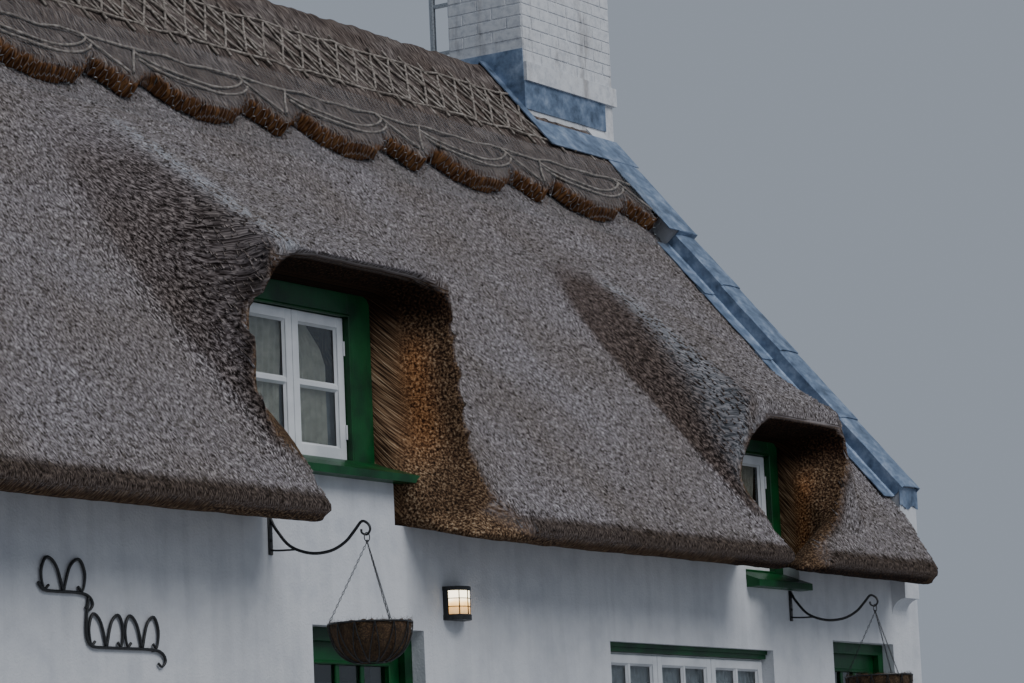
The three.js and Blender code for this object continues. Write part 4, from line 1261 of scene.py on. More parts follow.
def dormer_sashes(name, hole, count):
    hx0, hx1, hz0, hz1 = hole
    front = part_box(f"{name}_frame")[0].y + SASH_SET_BACK
    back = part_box(f"{name}_glass")[0].y - PANE_GAP
    edges = np.linspace(hx0 + 0.003, hx1 - 0.003, count + 1)
    parts = []
    for i, (x0, x1) in enumerate(zip(edges, edges[1:])):
        parts += casement(x0 + 0.002, x1 - 0.002, hz0 + 0.003, hz1 - 0.003, front, back, SASH_STILE,
                          SASH_TOP, SASH_FOOT, 1, 2, SASH_BAR)
        hinge_x = x1 - 0.004 if i == count - 1 else x0 + 0.004
        parts += [round_bar(hinge_x, front - 0.004, z, z + HINGE_LONG, HINGE_RADIUS)
                  for z in (hz0 + 0.12, hz1 - 0.20)]
    return joined(parts)


for name, window in DORMERS.items():
    green = dormer_frame(name, window["hole"])
    white = dormer_sashes(name, window["hole"], window["sashes"])
    for end, shaped in (("rear_", mirrored), ("", lambda mesh: mesh)):
        piece(f"{end}{name}_green_frame", shaped(green), GREEN,
              stands_for=[f"{end}{name}_frame"])
        piece(f"{end}{name}_white_sashes", shaped(white), WHITE)

# %% Ground floor casements
GROUND_WINDOWS = {"front_window": 3, "left_window": 2, "rear_window": 3}
BOX_WIDE, MULLION_HALF = 0.03, 0.021
LIGHT_STILE, LIGHT_TOP, LIGHT_FOOT = 0.048, 0.052, 0.075


def ground_window(name, lights):
    (x0, y0, z0), (x1, y1, z1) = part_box(f"{name}_frame")
    near_glass, far_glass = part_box(f"{name}_glass")
    glass_y = near_glass.y
    if y0 > 0:
        y0, y1, glass_y = -y1, -y0, -far_glass.y
    edges = np.linspace(x0 + 0.012, x1 - 0.012, lights + 1)
    front, back = y0 + 0.012, glass_y - PANE_GAP
    in0, in1 = x0 + BOX_WIDE - 0.001, x1 - BOX_WIDE + 0.001
    rows = [(x0, x0 + BOX_WIDE, front, y1, z0, z1), (x1 - BOX_WIDE, x1, front, y1, z0, z1),
            (in0, in1, front, y1, z1 - BOX_WIDE, z1), (in0, in1, front, y1, z0, z0 + BOX_WIDE)]
    rows += [(x - MULLION_HALF, x + MULLION_HALF, y0 + 0.008, back, z0 + 0.029, z1 - 0.029)
             for x in edges[1:-1]]
    parts = [boxes(rows)]
    for left, right in zip(edges, edges[1:]):
        parts += casement(left + 0.0035, right - 0.0035, z0 + 0.012, z1 - 0.012, y0, back,
                          LIGHT_STILE, LIGHT_TOP, LIGHT_FOOT, 2, 3)
    return joined(parts)


for name, lights in GROUND_WINDOWS.items():
    window_mesh = ground_window(name, lights)
    if name == "rear_window":
        window_mesh = mirrored(window_mesh)
    piece(f"{name}_casements", window_mesh, WHITE, stands_for=[f"{name}_frame"])

# %% [markdown]
# ## Curtains
# Net and cream curtains hang behind the glass in soft folds. A folded sheet is a wave whose depth
# makes up the width that the gathering takes away, so its cloth keeps the size that it was cut to.
# Each one is two skins half a millimetre apart.

# %% Net and cream curtains


# Polyester net and cotton curtaining: matt, thin, with light coming through.
def curtain_cloth(name, base, alpha, thread):
    f = Finish(name, 0.95, base, specular=0.1)
    weave = f.add("ShaderNodeTexWave", {"Vector": f.place, "Scale": 0.5 / thread,
                                        "Distortion": 1.0}, bands_direction="Z")["Color"]
    tone = f.ramp(f.noise(0.05, 3.0), (0.3, "b4b2ab"), (0.65, "ffffff"))
    f.set({"Base Color": f.times(0.5, linear(base), tone), "Alpha": alpha, "Sheen Weight": 0.2})
    return f.bump(weave, 0.0008)


NET = curtain_cloth("polyester_net", "c9cfd4", 0.72, 0.003)
CREAM = curtain_cloth("cream_cotton", "ebe3d0", 1.0, 0.002)
CLOTH_THICK = 0.0005
FOLD, FOLD_DEPTH, LEAST_FOLDS = 0.052, 0.0085, 4
STEPS_A_FOLD, DROP_STEPS = 6, 10
BEHIND_FRAME = 0.022


def two_skins(front_skin, back_skin, wide):
    """A thin closed sheet from two grids of points, each with "wide" points to a row."""
    count, rows, faces = len(front_skin), len(front_skin) // wide, []
    for a in (j * wide + i for j in range(rows - 1) for i in range(wide - 1)):
        faces.append((a, a + 1, a + 1 + wide, a + wide))
        faces.append((count + a, count + a + wide, count + a + 1 + wide, count + a + 1))
    border = [*range(wide), *range(2 * wide - 1, rows * wide, wide)]
    border += [*range(rows * wide - 2, (rows - 1) * wide - 1, -1),
               *range((rows - 2) * wide, 0, -wide)]
    faces += [(a, count + a, count + b, b) for a, b in zip(border, border[1:] + border[:1])]
    return outward(mesh_of(front_skin + back_skin, faces))


def curtain_mesh(left, right, low, high, y, tied, top):
    """A gathered curtain; tied draws its free edge in as it falls, top is its width at the rail."""
    folds = max(LEAST_FOLDS, round(abs(right - left) / FOLD))
    wide = folds * STEPS_A_FOLD + 1
    skin = []
    for v in (j / DROP_STEPS for j in range(DROP_STEPS + 1)):
        gathered = top + (1 - top) * float(smooth(v / 0.4))
        width = (right - left) * (1 - tied * float(smooth(v / 0.8))) * gathered
        for u in (i / (wide - 1) for i in range(wide)):
            wave = FOLD_DEPTH * math.sin(2 * math.pi * folds * u + 0.8 * math.sin(3 * v)
                                         + 0.5 * math.sin(7 * u))
            skin.append((left + u * width, y + wave, high - v * (high - low)))
    rows = [skin[start:start + wide] for start in range(0, len(skin), wide)]
    widest = max(sum(math.dist(a, b) for a, b in zip(row, row[1:])) for row in rows)
    return two_skins(skin, [(px, py + CLOTH_THICK, pz) for px, py, pz in skin], wide), widest


def hang_curtain(name, window, left, right, low, high, material, tied=0.0, behind=BEHIND_FRAME,
                 top=1.0):
    rear = window.startswith("rear_")
    near_corner, far_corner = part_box(f"{window}_glass")
    y = (-near_corner.y if rear else far_corner.y) + behind
    mesh, widest = curtain_mesh(left, right, low, high, y, tied, top)
    made = piece(name, mirrored(mesh) if rear else mesh, material, smooth=True)


for name in ("dormer_1", "rear_dormer_1"):
    hang_curtain(f"{name}_left_curtain", name, -1.46, -0.99, 2.93, 3.74, CREAM, 0.10)
    hang_curtain(f"{name}_right_curtain", name, -0.97, -0.63, 2.93, 3.74, CREAM, top=0.22)
    hang_curtain(f"{name}_net", name, -1.46, -0.40, 2.93, 3.30, NET, behind=BEHIND_FRAME + 0.03)
for name in ("dormer_2", "rear_dormer_2"):
    hang_curtain(f"{name}_curtain", name, 3.43, 3.86, 2.60, 3.34, CREAM, 0.15)
for name in GROUND_WINDOWS:
    low_corner, high_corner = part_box(f"{name}_glass")
    hang_curtain(f"{name}_net", name, low_corner.x + 0.01, high_corner.x - 0.01,
                 low_corner.z + 0.02, high_corner.z - 0.005, NET)

# %% [markdown]
# ## The doors
# Each door is a stout frame of stiles and rails with a tall light in its upper half and two raised
# panels below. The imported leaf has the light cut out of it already, so the pieces here are what a
# joiner plants on: bars over the glass, mouldings, raised fields, a weather bar, a knob and a
# letter plate. They ride on the door's own body, and stand no further out than the frame lets them
# swing.

# %% Door joinery
DOOR_THICK, DOOR_STILE, PANEL_GAP = 0.045, 0.105, 0.060
PANEL_FOOT, PANEL_HEAD, PANEL_INSET = 0.240, 0.880, 0.012
LIGHT_SILL, LIGHT_BELOW_TOP, LIGHT_BAR_HALF = 1.080, 0.120, 0.017
OVOLO = [(-0.001, 0.004), (-0.001, -0.006), (0.006, -0.010), (0.016, -0.005), (0.020, 0.001),
         (0.020, 0.004)]
FIELD = [(0.0, -0.001), (0.0, 0.002), (0.035, 0.008)]
WEATHER_BAR = [(0.001, 0.078), (-0.022, 0.084), (-0.022, 0.094), (0.001, 0.135)]


def raised_field(x0, x1, z0, z1, face, way):
    """A fielded panel: a flat middle with sloping margins, proud of the door's face."""
    return loft([[(x, face + way * proud, z) for x, z in (
        (x0 + inset, z0 + inset), (x1 - inset, z0 + inset), (x1 - inset, z1 - inset),
        (x0 + inset, z1 - inset))] for inset, proud in FIELD])


def door_joinery(door):
    (x0, y0, _), (x1, _, z1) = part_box(f"{door}_leaf")
    pane_low, pane_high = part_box(f"{door}_glass")
    in0, in1, middle = x0 + DOOR_STILE, x1 - DOOR_STILE, (x0 + x1) / 2
    light = (in0, in1, LIGHT_SILL, z1 - LIGHT_BELOW_TOP)
    bars = [in0 + i * ((in1 - in0) / 3) for i in (1, 2)]
    parts = []
    for face, pane, way, depth in ((y0, pane_low.y, -1, 1.0),
                                   (y0 + DOOR_THICK, pane_high.y, 1, 0.5)):
        low, high = sorted((face - way * 0.004, pane + way * PANE_GAP))
        parts.append(boxes([(x - LIGHT_BAR_HALF, x + LIGHT_BAR_HALF, low, high, *light[2:])
                            for x in bars], 0.004))
        moulding = [(out, face + way * -y * depth) for out, y in OVOLO]
        parts.append(surround(*light, moulding))
        for left, right in ((in0, middle - PANEL_GAP / 2), (middle + PANEL_GAP / 2, in1)):
            parts.append(surround(left, right, PANEL_FOOT, PANEL_HEAD, moulding))
            parts.append(raised_field(left + PANEL_INSET, right - PANEL_INSET,
                                      PANEL_FOOT + PANEL_INSET, PANEL_HEAD - PANEL_INSET, face,
                                      way * depth))
    parts.append(loft([[(x, y0 + y, z) for y, z in WEATHER_BAR] for x in (x0 + 0.025, x1 - 0.025)]))
    return joined(parts)


def turned(x, z, face, profile, sides=20):
    """A knob turned about a line square to the door; profile is (radius, distance out)."""
    return loft([[(x + r * math.cos(a), face - out, z + r * math.sin(a)) for a in turns(sides)]
                 for r, out in profile])


KNOB = [(0.027, -0.001), (0.027, 0.003), (0.010, 0.006), (0.009, 0.026), (0.019, 0.031),
        (0.0235, 0.040), (0.020, 0.049), (0.009, 0.053)]
KNOB_IN, KNOB_HEIGHT = 0.055, 0.990


def door_furniture(door, hinge_on_left):
    (x0, y0, _), (x1, _, _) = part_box(f"{door}_leaf")
    latch = x1 - KNOB_IN if hinge_on_left else x0 + KNOB_IN
    middle = (x0 + x1) / 2
    plate = boxes([(middle - 0.125, middle + 0.125, y0 - 0.004, y0 + 0.001, 0.940, 1.015),
                   (middle - 0.105, middle + 0.105, y0 - 0.008, y0 - 0.003, 0.952, 1.003)])
    bead = loft([[(middle + x, y0 - 0.007 - 0.005 * math.sin(a), 0.9535 + 0.005 * math.cos(a))
                  for a in turns(8)] for x in (-0.1, 0.1)])
    return joined([turned(latch, KNOB_HEIGHT, y0, KNOB), plate, bead])


for door, hinge_on_left in (("door_1", True), ("door_2", False)):
    piece(f"{door}_joinery", door_joinery(door), GREEN, body=door)
    piece(f"{door}_furniture", door_furniture(door, hinge_on_left), IRON, body=door)

# %% [markdown]
# ## The lantern
# The bulkhead lantern is lit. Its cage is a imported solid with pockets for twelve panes, so each
# pane is a thin curved plate in its pocket, and the plates give light. The lamp sits high inside,
# so the lowest row is the dimmest, which one ramp over the height says.

# %% Lantern panes
LAMP = {"x": 0.175, "foot": 2.154, "head": 2.282, "rows": 3, "columns": 4, "from": 197.4,
        "step": 38.4, "bar": 3.0}
PANE_RADII, PANE_EASE, PANE_TURN = (0.0885, 0.0853), 0.0025, 0.3
GLOW_STRENGTH = 3.8


# Opal lamp glass, lit from behind by a warm bulb.
def lit_glass():
    f = Finish("lit_opal_glass", 0.25, "f2d9b0")
    along = f.add("ShaderNodeMapRange", {
        "Value": f.add("ShaderNodeSeparateXYZ", {0: f.place})["Z"], "From Min": LAMP["foot"],
        "From Max": LAMP["head"]})[0]
    ripple = f.noise(0.03, 2.0)
    glow = f.ramp(f.maths("MULTIPLY_ADD", ripple, 0.22, along), (0.10, "6e5028"), (0.42, "a5783c"),
                  (0.58, "d9ab66"), (0.80, "fff0cf"))
    f.set({"Emission Color": glow, "Emission Strength": GLOW_STRENGTH})
    return f.bump(ripple, 0.001)


def lantern_panes():
    row_height = (LAMP["head"] - LAMP["foot"]) / LAMP["rows"]
    parts = []
    for column in range(LAMP["columns"]):
        start = LAMP["from"] + column * LAMP["step"] + LAMP["bar"] / 2 + PANE_TURN
        stop = start + LAMP["step"] - LAMP["bar"] - 2 * PANE_TURN
        outline = [p for radius, ends in zip(PANE_RADII, ((start, stop), (stop, start)))
                   for p in arc(LAMP["x"], FRONT - GAP, radius, *ends, 4)]
        for row in range(LAMP["rows"]):
            low = LAMP["foot"] + row * row_height + PANE_EASE
            high = LAMP["foot"] + (row + 1) * row_height - PANE_EASE
            parts.append(loft([[(x, y, z) for x, y in outline] for z in (low, high)]))
    return joined(parts)


OPAL = lit_glass()
piece("lantern_panes", lantern_panes(), OPAL)

# %% [markdown]
# ## The chimney
# Its bricks are laid in stretcher bond, 74 mm high with joints of 9 and 10 mm, under old masonry
# paint. A carrier mesh has one point for each brick, with its turn and its length on the point. The
# tree instances one bevelled brick on each and shifts it a little, as a bricklayer does.

# %% Bricks
COURSE, BRICK_HIGH, BRICK_LONG, JOINT = 0.083, 0.074, 0.220, 0.010
BRICK_PROUD, BRICK_DEEP, UNEVENNESS = 0.005, 0.012, 0.0012
CAP_HIGH, STACK_INSET, LEFT_FACE_FROM = 0.150, 0.04, 6.345


def brick_slip():
    return boxes([(-BRICK_LONG / 2, BRICK_LONG / 2, -BRICK_DEEP, BRICK_PROUD, -BRICK_HIGH / 2,
                   BRICK_HIGH / 2)], 0.0022)


def wall_of_bricks(x0, x1, y0, y1, z0, z1, courses):
    """Points, turns and length scales of the bricks round a stack."""
    sides = ((x1 - x0, lambda s: (x0 + s, y0), math.pi), (x1 - x0, lambda s: (x1 - s, y1), 0.0),
             (y1 - y0, lambda s: (x0, y1 - s), math.pi / 2),
             (y1 - y0, lambda s: (x1, y0 + s), -math.pi / 2))
    rows, high = [], (z1 - z0) / courses
    for course in range(courses):
        for face, (length, at, turn) in enumerate(sides):
            count = round(length / (BRICK_LONG + JOINT))
            step = length / (count if face < 2 else count - 0.5)
            shift = 0.5 * step * ((course + (face > 1)) % 2)
            joints = [shift + i * step for i in range(count + 1)]
            edges = [0.0, *(s for s in joints if 0.02 < s < length - 0.02), length]
            for a, b in zip(edges, edges[1:]):
                rows.append((*at((a + b) / 2), z0 + (course + 0.5) * high, turn,
                             (b - a - JOINT) / BRICK_LONG, high / COURSE))
    return rows


def brick_grower():
    g = Grower("laid_bricks", {"Unevenness": UNEVENNESS, "Seed": 3, "Brick": "object"})
    moved = g.add("GeometryNodeSetPosition", {"Geometry": g.size["Geometry"],
                                              "Offset": g.stray(g.size["Unevenness"])})[0]
    return g.end(g.copies(moved, "Brick", Rotation=g.field("turn"), Scale=g.field("stretch")))


def chimney_bricks():
    low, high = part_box("chimney_stack")
    band_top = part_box("chimney_drip_band")[1].z
    cap = high.z - CAP_HIGH
    rows = wall_of_bricks(low.x + STACK_INSET, high.x - STACK_INSET, low.y + STACK_INSET,
                          high.y - STACK_INSET, band_top + 0.001, cap - 0.001,
                          round((cap - band_top) / COURSE))
    rows = [row for row in rows
            if row[0] > low.x + STACK_INSET + 0.01 or row[2] > LEFT_FACE_FROM + COURSE / 2]
    rows += wall_of_bricks(low.x, high.x, low.y, high.y, cap, high.z, 2)
    carrier = mesh_of([row[:3] for row in rows])
    set_fields(carrier, "FLOAT_VECTOR", turn=[(0, 0, row[3]) for row in rows],
               stretch=[(row[4], 1, row[5]) for row in rows])
    shape = placed("brick_slip", brick_slip())
    mesh = brick_grower().grow(carrier, {"Brick": shape, "Finish": BRICK})
    bpy.data.objects.remove(shape)
    print("bricks:", len(rows))
    return mesh


piece("chimney_bricks", chimney_bricks(), BRICK)

# %% [markdown]
# ## The lead cope
# A plumber covers the parapet in bays of sheet lead less than a metre long. Each bay is dressed
# over the coping, laps the one below by 80 mm, and ends in a welt at the foot. A bay is one
# cross-section carried up the slope, with a little waviness, and its lower end lifts over its
# neighbour.

# %% Lapped lead bays
COPE_LEFT, COPE_RIGHT = 5.280, 5.510
COPE_STEP, COPE_END = 2.410, 3.108
BAYS = ((-0.075, 0.66), (0.58, 1.31), (1.23, 1.96), (1.88, COPE_STEP - 0.004))
LAP_LIFT, BAY_STEPS, STEP_SHEET = 0.009, 14, 0.008
LOW_OUTSIDE = [(-0.135, 0.008), (-0.070, 0.009), (-0.020, 0.010), (-0.010, 0.020), (-0.009, 0.060),
               (-0.008, 0.096), (0.000, 0.107), (0.060, 0.111), (0.115, 0.112), (0.175, 0.111),
               (0.231, 0.107), (0.239, 0.096), (0.239, 0.042)]
LOW_INSIDE = [(-0.135, 0.002), (-0.070, 0.003), (-0.016, 0.004), (-0.004, 0.016), (-0.003, 0.058),
              (-0.002, 0.092), (0.003, 0.101), (0.060, 0.105), (0.115, 0.106), (0.175, 0.105),
              (0.227, 0.101), (0.233, 0.092), (0.233, 0.042)]
HIGH_OUTSIDE = [(-0.135, 0.139), (-0.070, 0.140), (0.000, 0.141), (0.060, 0.143), (0.115, 0.144),
                (0.175, 0.143), (0.231, 0.139), (0.239, 0.130), (0.239, 0.072)]
HIGH_INSIDE = [(x - (0.006 if x > 0.235 else 0.0), rise - (0.006 if x < 0.235 else 0.0))
               for x, rise in HIGH_OUTSIDE]
WELT_LEFT, WELT_WIDE, WELT_FOOT, WELT_ROWS, WELT_STEPS = -0.010, 0.250, 3.045, 8, 24


def lead_bay(run0, run1, outside, inside, seed, lift=LAP_LIFT):
    skins = ([], [])
    for j in range(BAY_STEPS + 1):
        t = j / BAY_STEPS
        run = run0 + (run1 - run0) * t
        for i, sections in enumerate(zip(outside, inside)):
            ripple = noise.noise(Vector((i * 0.31 + seed * 5.1, run * 7.0, seed)))
            edge = 0.016 * noise.noise(Vector((seed * 2.3, run * 5.0, 4.0))) if i == 0 else 0.0
            raised = lift * (1 - t) + 0.0028 * ripple + 0.0012
            for skin, (x, rise) in zip(skins, sections):
                skin.append(on_slope(COPE_LEFT + x + edge, run, rise + raised))
    return two_skins(*skins, len(outside))


def lead_welt():
    """The folded end that hangs over the foot of the parapet, with its crimped lower edge."""
    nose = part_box("lead_cope_front")[0].y + 0.002
    top = on_slope(0, BAYS[0][0], 0.108)[2] + 0.004
    skins = ([], [])
    for t in (j / WELT_ROWS for j in range(WELT_ROWS + 1)):
        for u in (i / WELT_STEPS for i in range(WELT_STEPS + 1)):
            x = COPE_LEFT + WELT_LEFT + u * WELT_WIDE
            crimp = 0.005 * t * math.sin(31 * u + 2 * math.sin(5 * u)) + 0.003 * t
            z = top + (WELT_FOOT + 0.012 * math.sin(9 * u + 1) - top) * t
            for skin, y in zip(skins, (nose - 0.004, nose + 0.002)):
                skin.append((x, y + crimp, z))
    return two_skins(*skins, WELT_STEPS + 1)


def cope_leadwork():
    parts = [lead_bay(*bay, LOW_OUTSIDE, LOW_INSIDE, seed) for seed, bay in enumerate(BAYS)]
    parts += [lead_bay(COPE_STEP - 0.006, COPE_END, HIGH_OUTSIDE, HIGH_INSIDE, 7, 0.0), lead_welt()]
    top = COPE_STEP - 0.004
    corners = ((top - STEP_SHEET, 0.098), (top, 0.098), (top, 0.142), (top - STEP_SHEET, 0.142))
    parts.append(loft([[on_slope(x, run, rise) for run, rise in corners]
                       for x in (COPE_LEFT - 0.009, COPE_RIGHT + 0.009)]))
    return joined(parts)


cope = cope_leadwork()
for end, sheets in (("rear", mirrored(cope)), ("front", cope)):
    piece(f"lead_cope_{end}_sheets", sheets, LEAD, stands_for=[f"lead_cope_{end}"])

# %% [markdown]
# ## Forged iron
# The wall brackets and the scrollwork are round bar, drawn out thin at the ends and bent hot. Each
# is a smooth curve through the smith's points with a radius for every step along it.

# %% Bars along smooth curves


def smooth_path(points, per=6):
    """Points on a curve that passes smoothly through the given ones."""
    p = [Vector(q) for q in points]
    p = [2 * p[0] - p[1]] + p + [2 * p[-1] - p[-2]]
    path = []
    for a, b, c, d in zip(p, p[1:], p[2:], p[3:]):
        for t in (i / per for i in range(per)):
            path.append(0.5 * (2 * b + (c - a) * t + (2 * a - 5 * b + 4 * c - d) * t ** 2
                               + (3 * b - a - 3 * c + d) * t ** 3))
    return path + [p[-2]]


def bar(path, radii, sides=10, closed=False):
    """A round bar along a path; radii are spread along it, and a closed one is a hoop."""
    path = [Vector(p) for p in path]
    ahead = path[1:] + ([path[0]] if closed else [2 * path[-1] - path[-2]])
    behind = ([path[-1]] if closed else [2 * path[0] - path[1]]) + path[:-1]
    ways = [(b - a).normalized() for a, b in zip(behind, ahead)]
    spread = np.interp(np.linspace(0, 1, len(path)), np.linspace(0, 1, len(radii)), radii)
    side = ways[0].orthogonal().normalized()
    rings = []
    for point, way, radius in zip(path, ways, spread):
        side = (side - way * side.dot(way)).normalized()
        other = way.cross(side)
        rings.append([point + float(radius) * (math.cos(a) * side + math.sin(a) * other)
                      for a in turns(sides)])
    return loft(rings, hoop=closed)


# %% Brackets and scrollwork
# The smith's points are in millimetres: outwards and up from the plate, or along and up the wall.
BRACKETS = {"basket_1": (-1.400, 2.580), "basket_2": (3.890, 2.446)}
BRACKET_LINE = [(6, -10), (14, -24), (42, -70), (121, -155), (240, -200), (359, -200), (450, -165),
                (511, -112), (553, -74), (590, -90), (600, -118), (580, -140), (552, -130),
                (548, -112)]
BRACKET_RADII = [0.0078] * 8 + [0.0070, 0.0065, 0.0060, 0.0055, 0.0050, 0.0062]
BRACE_LINE = [(-1, -166), (60, -172), (150, -176), (172, -180)]
PLATE_HALF, PLATE_THICK, PLATE_SPAN = 0.016, 0.008, (-0.190, -0.004)
BOLT, BOLTS_AT = [(0.009, -0.001), (0.009, 0.005), (0.006, 0.007)], (-0.035, -0.120)


def wall_bracket(x, z):
    line, brace = (smooth_path([(x, FRONT - out / 1000, z + up / 1000) for out, up in rows], per)
                   for rows, per in ((BRACKET_LINE, 6), (BRACE_LINE, 4)))
    plate = boxes([(x - PLATE_HALF, x + PLATE_HALF, FRONT - PLATE_THICK, FRONT - GAP,
                    z + PLATE_SPAN[0], z + PLATE_SPAN[1])])
    bolts = [turned(x, z + up, FRONT - PLATE_THICK, BOLT, 6) for up in BOLTS_AT]
    return joined([bar(line, BRACKET_RADII), bar(brace, [0.005, 0.005, 0.004]), plate] + bolts)


SCROLL_AT = (-2.660, 2.090)
UPPER_LINE = [(-470, 92), (-440, 62), (-380, 55), (-200, 55), (-125, 40), (-100, 5), (-128, -22),
              (-150, -6)]
LOWER_LINE = [(-128, 42), (-146, -60), (-146, -140), (-110, -182), (0, -187), (300, -187),
              (385, -200), (412, -236), (386, -264), (360, -250)]
CURL_LINE, CURL_SIZE = [(0, 0), (80, 90), (190, 118), (255, 68), (226, 8), (170, 20)], (255, 118)
CURL_PAIRS = [(-300, 55, 150, 150), (-10, -187, 120, 150), (245, -187, 120, 150)]
PEGS, PEG_HALF = [(-400, 55), (-60, -186), (330, -192)], 0.006


def scrollwork():
    cx, cz = SCROLL_AT
    y = FRONT - 0.012
    lines = [UPPER_LINE, LOWER_LINE]
    lines += [[(dx + side * a * wide / CURL_SIZE[0], dz + b * high / CURL_SIZE[1])
               for a, b in CURL_LINE] for dx, dz, wide, high in CURL_PAIRS for side in (1, -1)]
    parts = [bar(smooth_path([(cx + dx / 1000, y, cz + dz / 1000) for dx, dz in line]),
                 [0.0075] * (len(line) - 2) + [0.0055, 0.0070]) for line in lines]
    for px, pz in ((cx + dx / 1000, cz + dz / 1000) for dx, dz in PEGS):
        parts.append(boxes([(px - PEG_HALF, px + PEG_HALF, y, FRONT - GAP, pz - PEG_HALF,
                             pz + PEG_HALF)], 0.001))
    return joined(parts)


piece("scrollwork", scrollwork(), IRON, stands_for=["scroll_ornament"], smooth=True)
for name, (x, z) in BRACKETS.items():
    piece(f"{name}_forged_bracket", wall_bracket(x, z), IRON,
          stands_for=[f"{name}_bracket"], smooth=True)

# %% [markdown]
# ## The hanging baskets
# A basket is a bowl of matted coir held in a cage of wire, on three chains. The liner bulges
# between the wires and its top edge is ragged, so it is turned as a bowl and then pushed about by
# noise. The cage wires come from the rod tree, the chain links from a tree of their own, and loose
# fibres from the strand tree that made the reed ends.

# %% Coir liner
BASKET_OUT, BASKET_DROP, BASKET_RADIUS, BASKET_DEPTH, FULLNESS = 0.580, 0.565, 0.200, 0.190, 0.72
BASKET_Y = FRONT - BASKET_OUT
LINER_THICK, LINER_INSET, WIRE_COUNT = 0.016, 0.004, 13
LINER_ANGLES, LINER_ROWS = 104, 22


def liner(x, z, seed):
    rows = []
    for inset, order in ((LINER_INSET, range(1, LINER_ROWS + 1)),
                         (LINER_THICK, range(LINER_ROWS, 0, -1))):
        for a in (math.radians(-90 + 90 * k / LINER_ROWS) for k in order):
            wide = (BASKET_RADIUS - inset) * max(math.cos(a), 0) ** FULLNESS
            height = (BASKET_DEPTH - inset) * math.sin(a)
            rows.append([(wide * math.cos(t), wide * math.sin(t), height)
                         for t in turns(LINER_ANGLES)])
    mesh = loft(rows)
    points, normals = points_of(mesh), normals_of(mesh)
    outside = (normals * points).sum(1) > 0
    angle = np.arctan2(points[:, 1], points[:, 0])
    bulge = 0.006 * np.abs(np.sin(WIRE_COUNT * angle / 2)) - 0.004
    push = relief(points, seed, (0.06, 0.005), (0.022, 0.003), (0.009, 0.0016))
    points += normals * (np.where(outside, bulge, 0.0) + push)[:, None]
    rim = smooth((points[:, 2] + 0.03) / 0.03)
    points[:, 2] += rim * (relief(points * (1, 1, 0), seed + 3, (0.03, 0.009)) + 0.004)
    set_fields(mesh, outer=(outside | (rim > 0.5)).astype(float))
    set_flow(mesh, normals, np.stack([-points[:, 0], -points[:, 1], -np.full(len(points), 0.2)], 1))
    set_points(mesh, points + (x, BASKET_Y, z))
    return mesh


# %% Cage, chains and fibres
RIM_WIRE, FOOT_WIRE, CAGE_WIRE, CAGE_FOOT = 0.0042, 0.003, 0.0029, 0.86
RING_RADIUS, RING_WIRE, RING_DROP = 0.022, 0.0025, 0.1522
LINK_PITCH, LINK_WIRE, LINK_HALF_WIDE = 0.0165, 0.0016, 0.0042
CHAIN_TURNS = (2.7, 122.7, 242.7)
COIR_STRAND = [(0, 0, -0.030), (-0.0007, 0, 0), (0.0007, 0, 0), (0, 0.0010, 0)]


def bowl_point(x, z, angle, height, out):
    """A point on the cage: height runs from 0 at the rim to 1 at the foot."""
    a = math.radians(-90 * height)
    radius = (BASKET_RADIUS + out) * math.cos(a) ** FULLNESS
    return (x + radius * math.cos(angle), BASKET_Y + radius * math.sin(angle),
            z + (BASKET_DEPTH + out) * math.sin(a))


def cage(x, z):
    rows = []
    for k in range(2 * WIRE_COUNT):
        foot = 2 * math.pi * (k // 2) / WIRE_COUNT
        lean = math.pi / WIRE_COUNT * (1 if k % 2 else -1)
        rows.append([bowl_point(x, z, foot + lean * t, CAGE_FOOT * t, 0.003)
                     for t in (j / 9 for j in range(10))])
    wires = rod_tree.grow(chained(rows), {"Rod radius": CAGE_WIRE, "Finish": IRON})
    return joined([wires] + [
        bar([bowl_point(x, z, a, height, 0.002) for a in turns(48)], [radius], 8, closed=True)
        for height, radius in ((0.0, RIM_WIRE), (CAGE_FOOT, FOOT_WIRE))])


def chain_link():
    half = LINK_PITCH * 0.5 + 0.0012
    line = [(LINK_HALF_WIDE * math.cos(a), 0,
             half * math.sin(a) * (1.0 if abs(math.sin(a)) > 0.9 else 0.92)) for a in turns(10)]
    return bar(line, [LINK_WIRE], 5, closed=True)


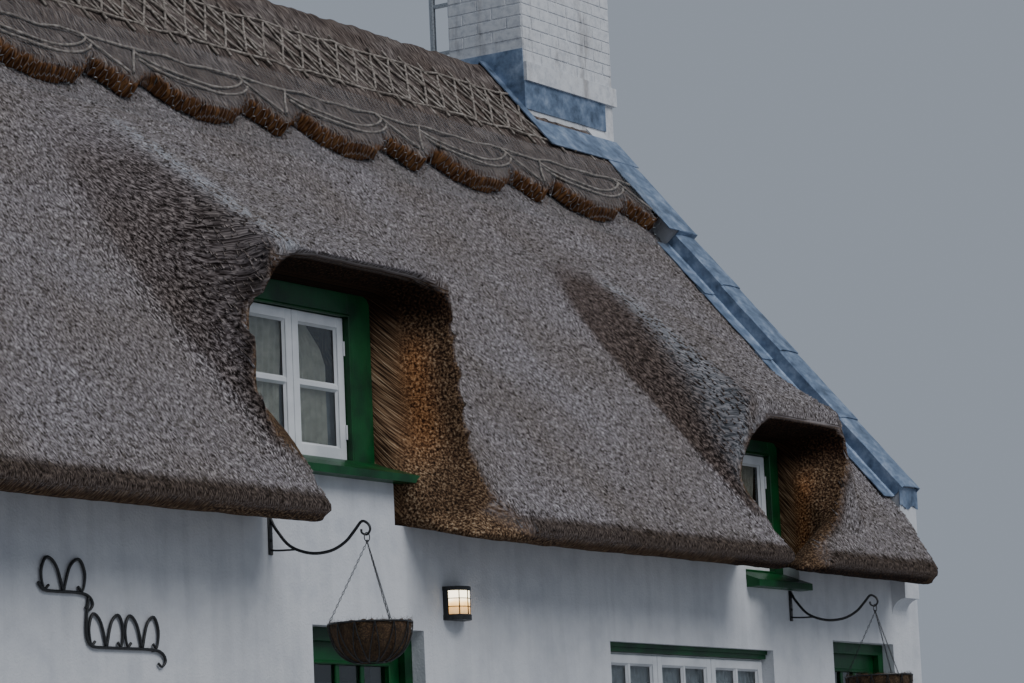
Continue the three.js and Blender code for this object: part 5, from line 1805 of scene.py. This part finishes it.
def chain_grower():
    """Links at even steps along a line, each a quarter turn from the last."""
    g = Grower("chain", {"Link pitch": LINK_PITCH, "Link": "object"})
    spaced = g.add("GeometryNodeCurveToPoints",
                   {"Curve": g.curve(), "Length": g.size["Link pitch"]}, mode="LENGTH")
    odd = g.maths("MODULO", g.add("GeometryNodeInputIndex")[0], 2.0)
    spin = g.add("FunctionNodeAxisAngleToRotation",
                 {"Axis": (0, 0, 1), "Angle": g.maths("MULTIPLY", odd, math.pi / 2)})[0]
    turn = g.add("FunctionNodeRotateRotation",
                 {"Rotation": spaced["Rotation"], "Rotate By": spin}, rotation_space="LOCAL")[0]
    return g.end(g.copies(spaced["Points"], "Link", Rotation=turn))


def chains(x, z, hook_z, link):
    ring_z = hook_z - RING_DROP
    lines = [[(x, BASKET_Y, ring_z - RING_RADIUS), bowl_point(x, z, math.radians(turn), 0.0, 0.0)]
             for turn in CHAIN_TURNS]
    links = chain_tree.grow(chained(lines), {"Link": link, "Finish": IRON})
    ring = bar([(x + RING_RADIUS * math.sin(a), BASKET_Y, ring_z + RING_RADIUS * math.cos(a))
                for a in turns(24)], [RING_WIRE], 8, closed=True)
    return joined([links, ring])


chain_tree, link_shape = chain_grower(), placed("chain_link", chain_link())
strand_shape = placed("coir_strand", mesh_of(COIR_STRAND, SPLINTER_FACES))
for seed, (name, (x, hook_z)) in enumerate(BRACKETS.items()):
    z = hook_z - BASKET_DROP
    bowl = liner(x, z, 40 + 5 * seed)
    strands = strand_tree.grow(bowl.copy(), {
        "Ends per square metre": 9000.0, "Lift": 0.25, "Stray": 0.9, "Seed": 50 + seed,
        "Strand": strand_shape, "Finish": COIR})
    piece(f"{name}_coir_liner", bowl, COIR, stands_for=[name], smooth=True)
    piece(f"{name}_coir_fibres", strands, COIR)
    piece(f"{name}_wire_cage", cage(x, z), IRON)
    piece(f"{name}_chains", chains(x, z, hook_z, link_shape), IRON)
bpy.data.objects.remove(link_shape)
bpy.data.objects.remove(strand_shape)
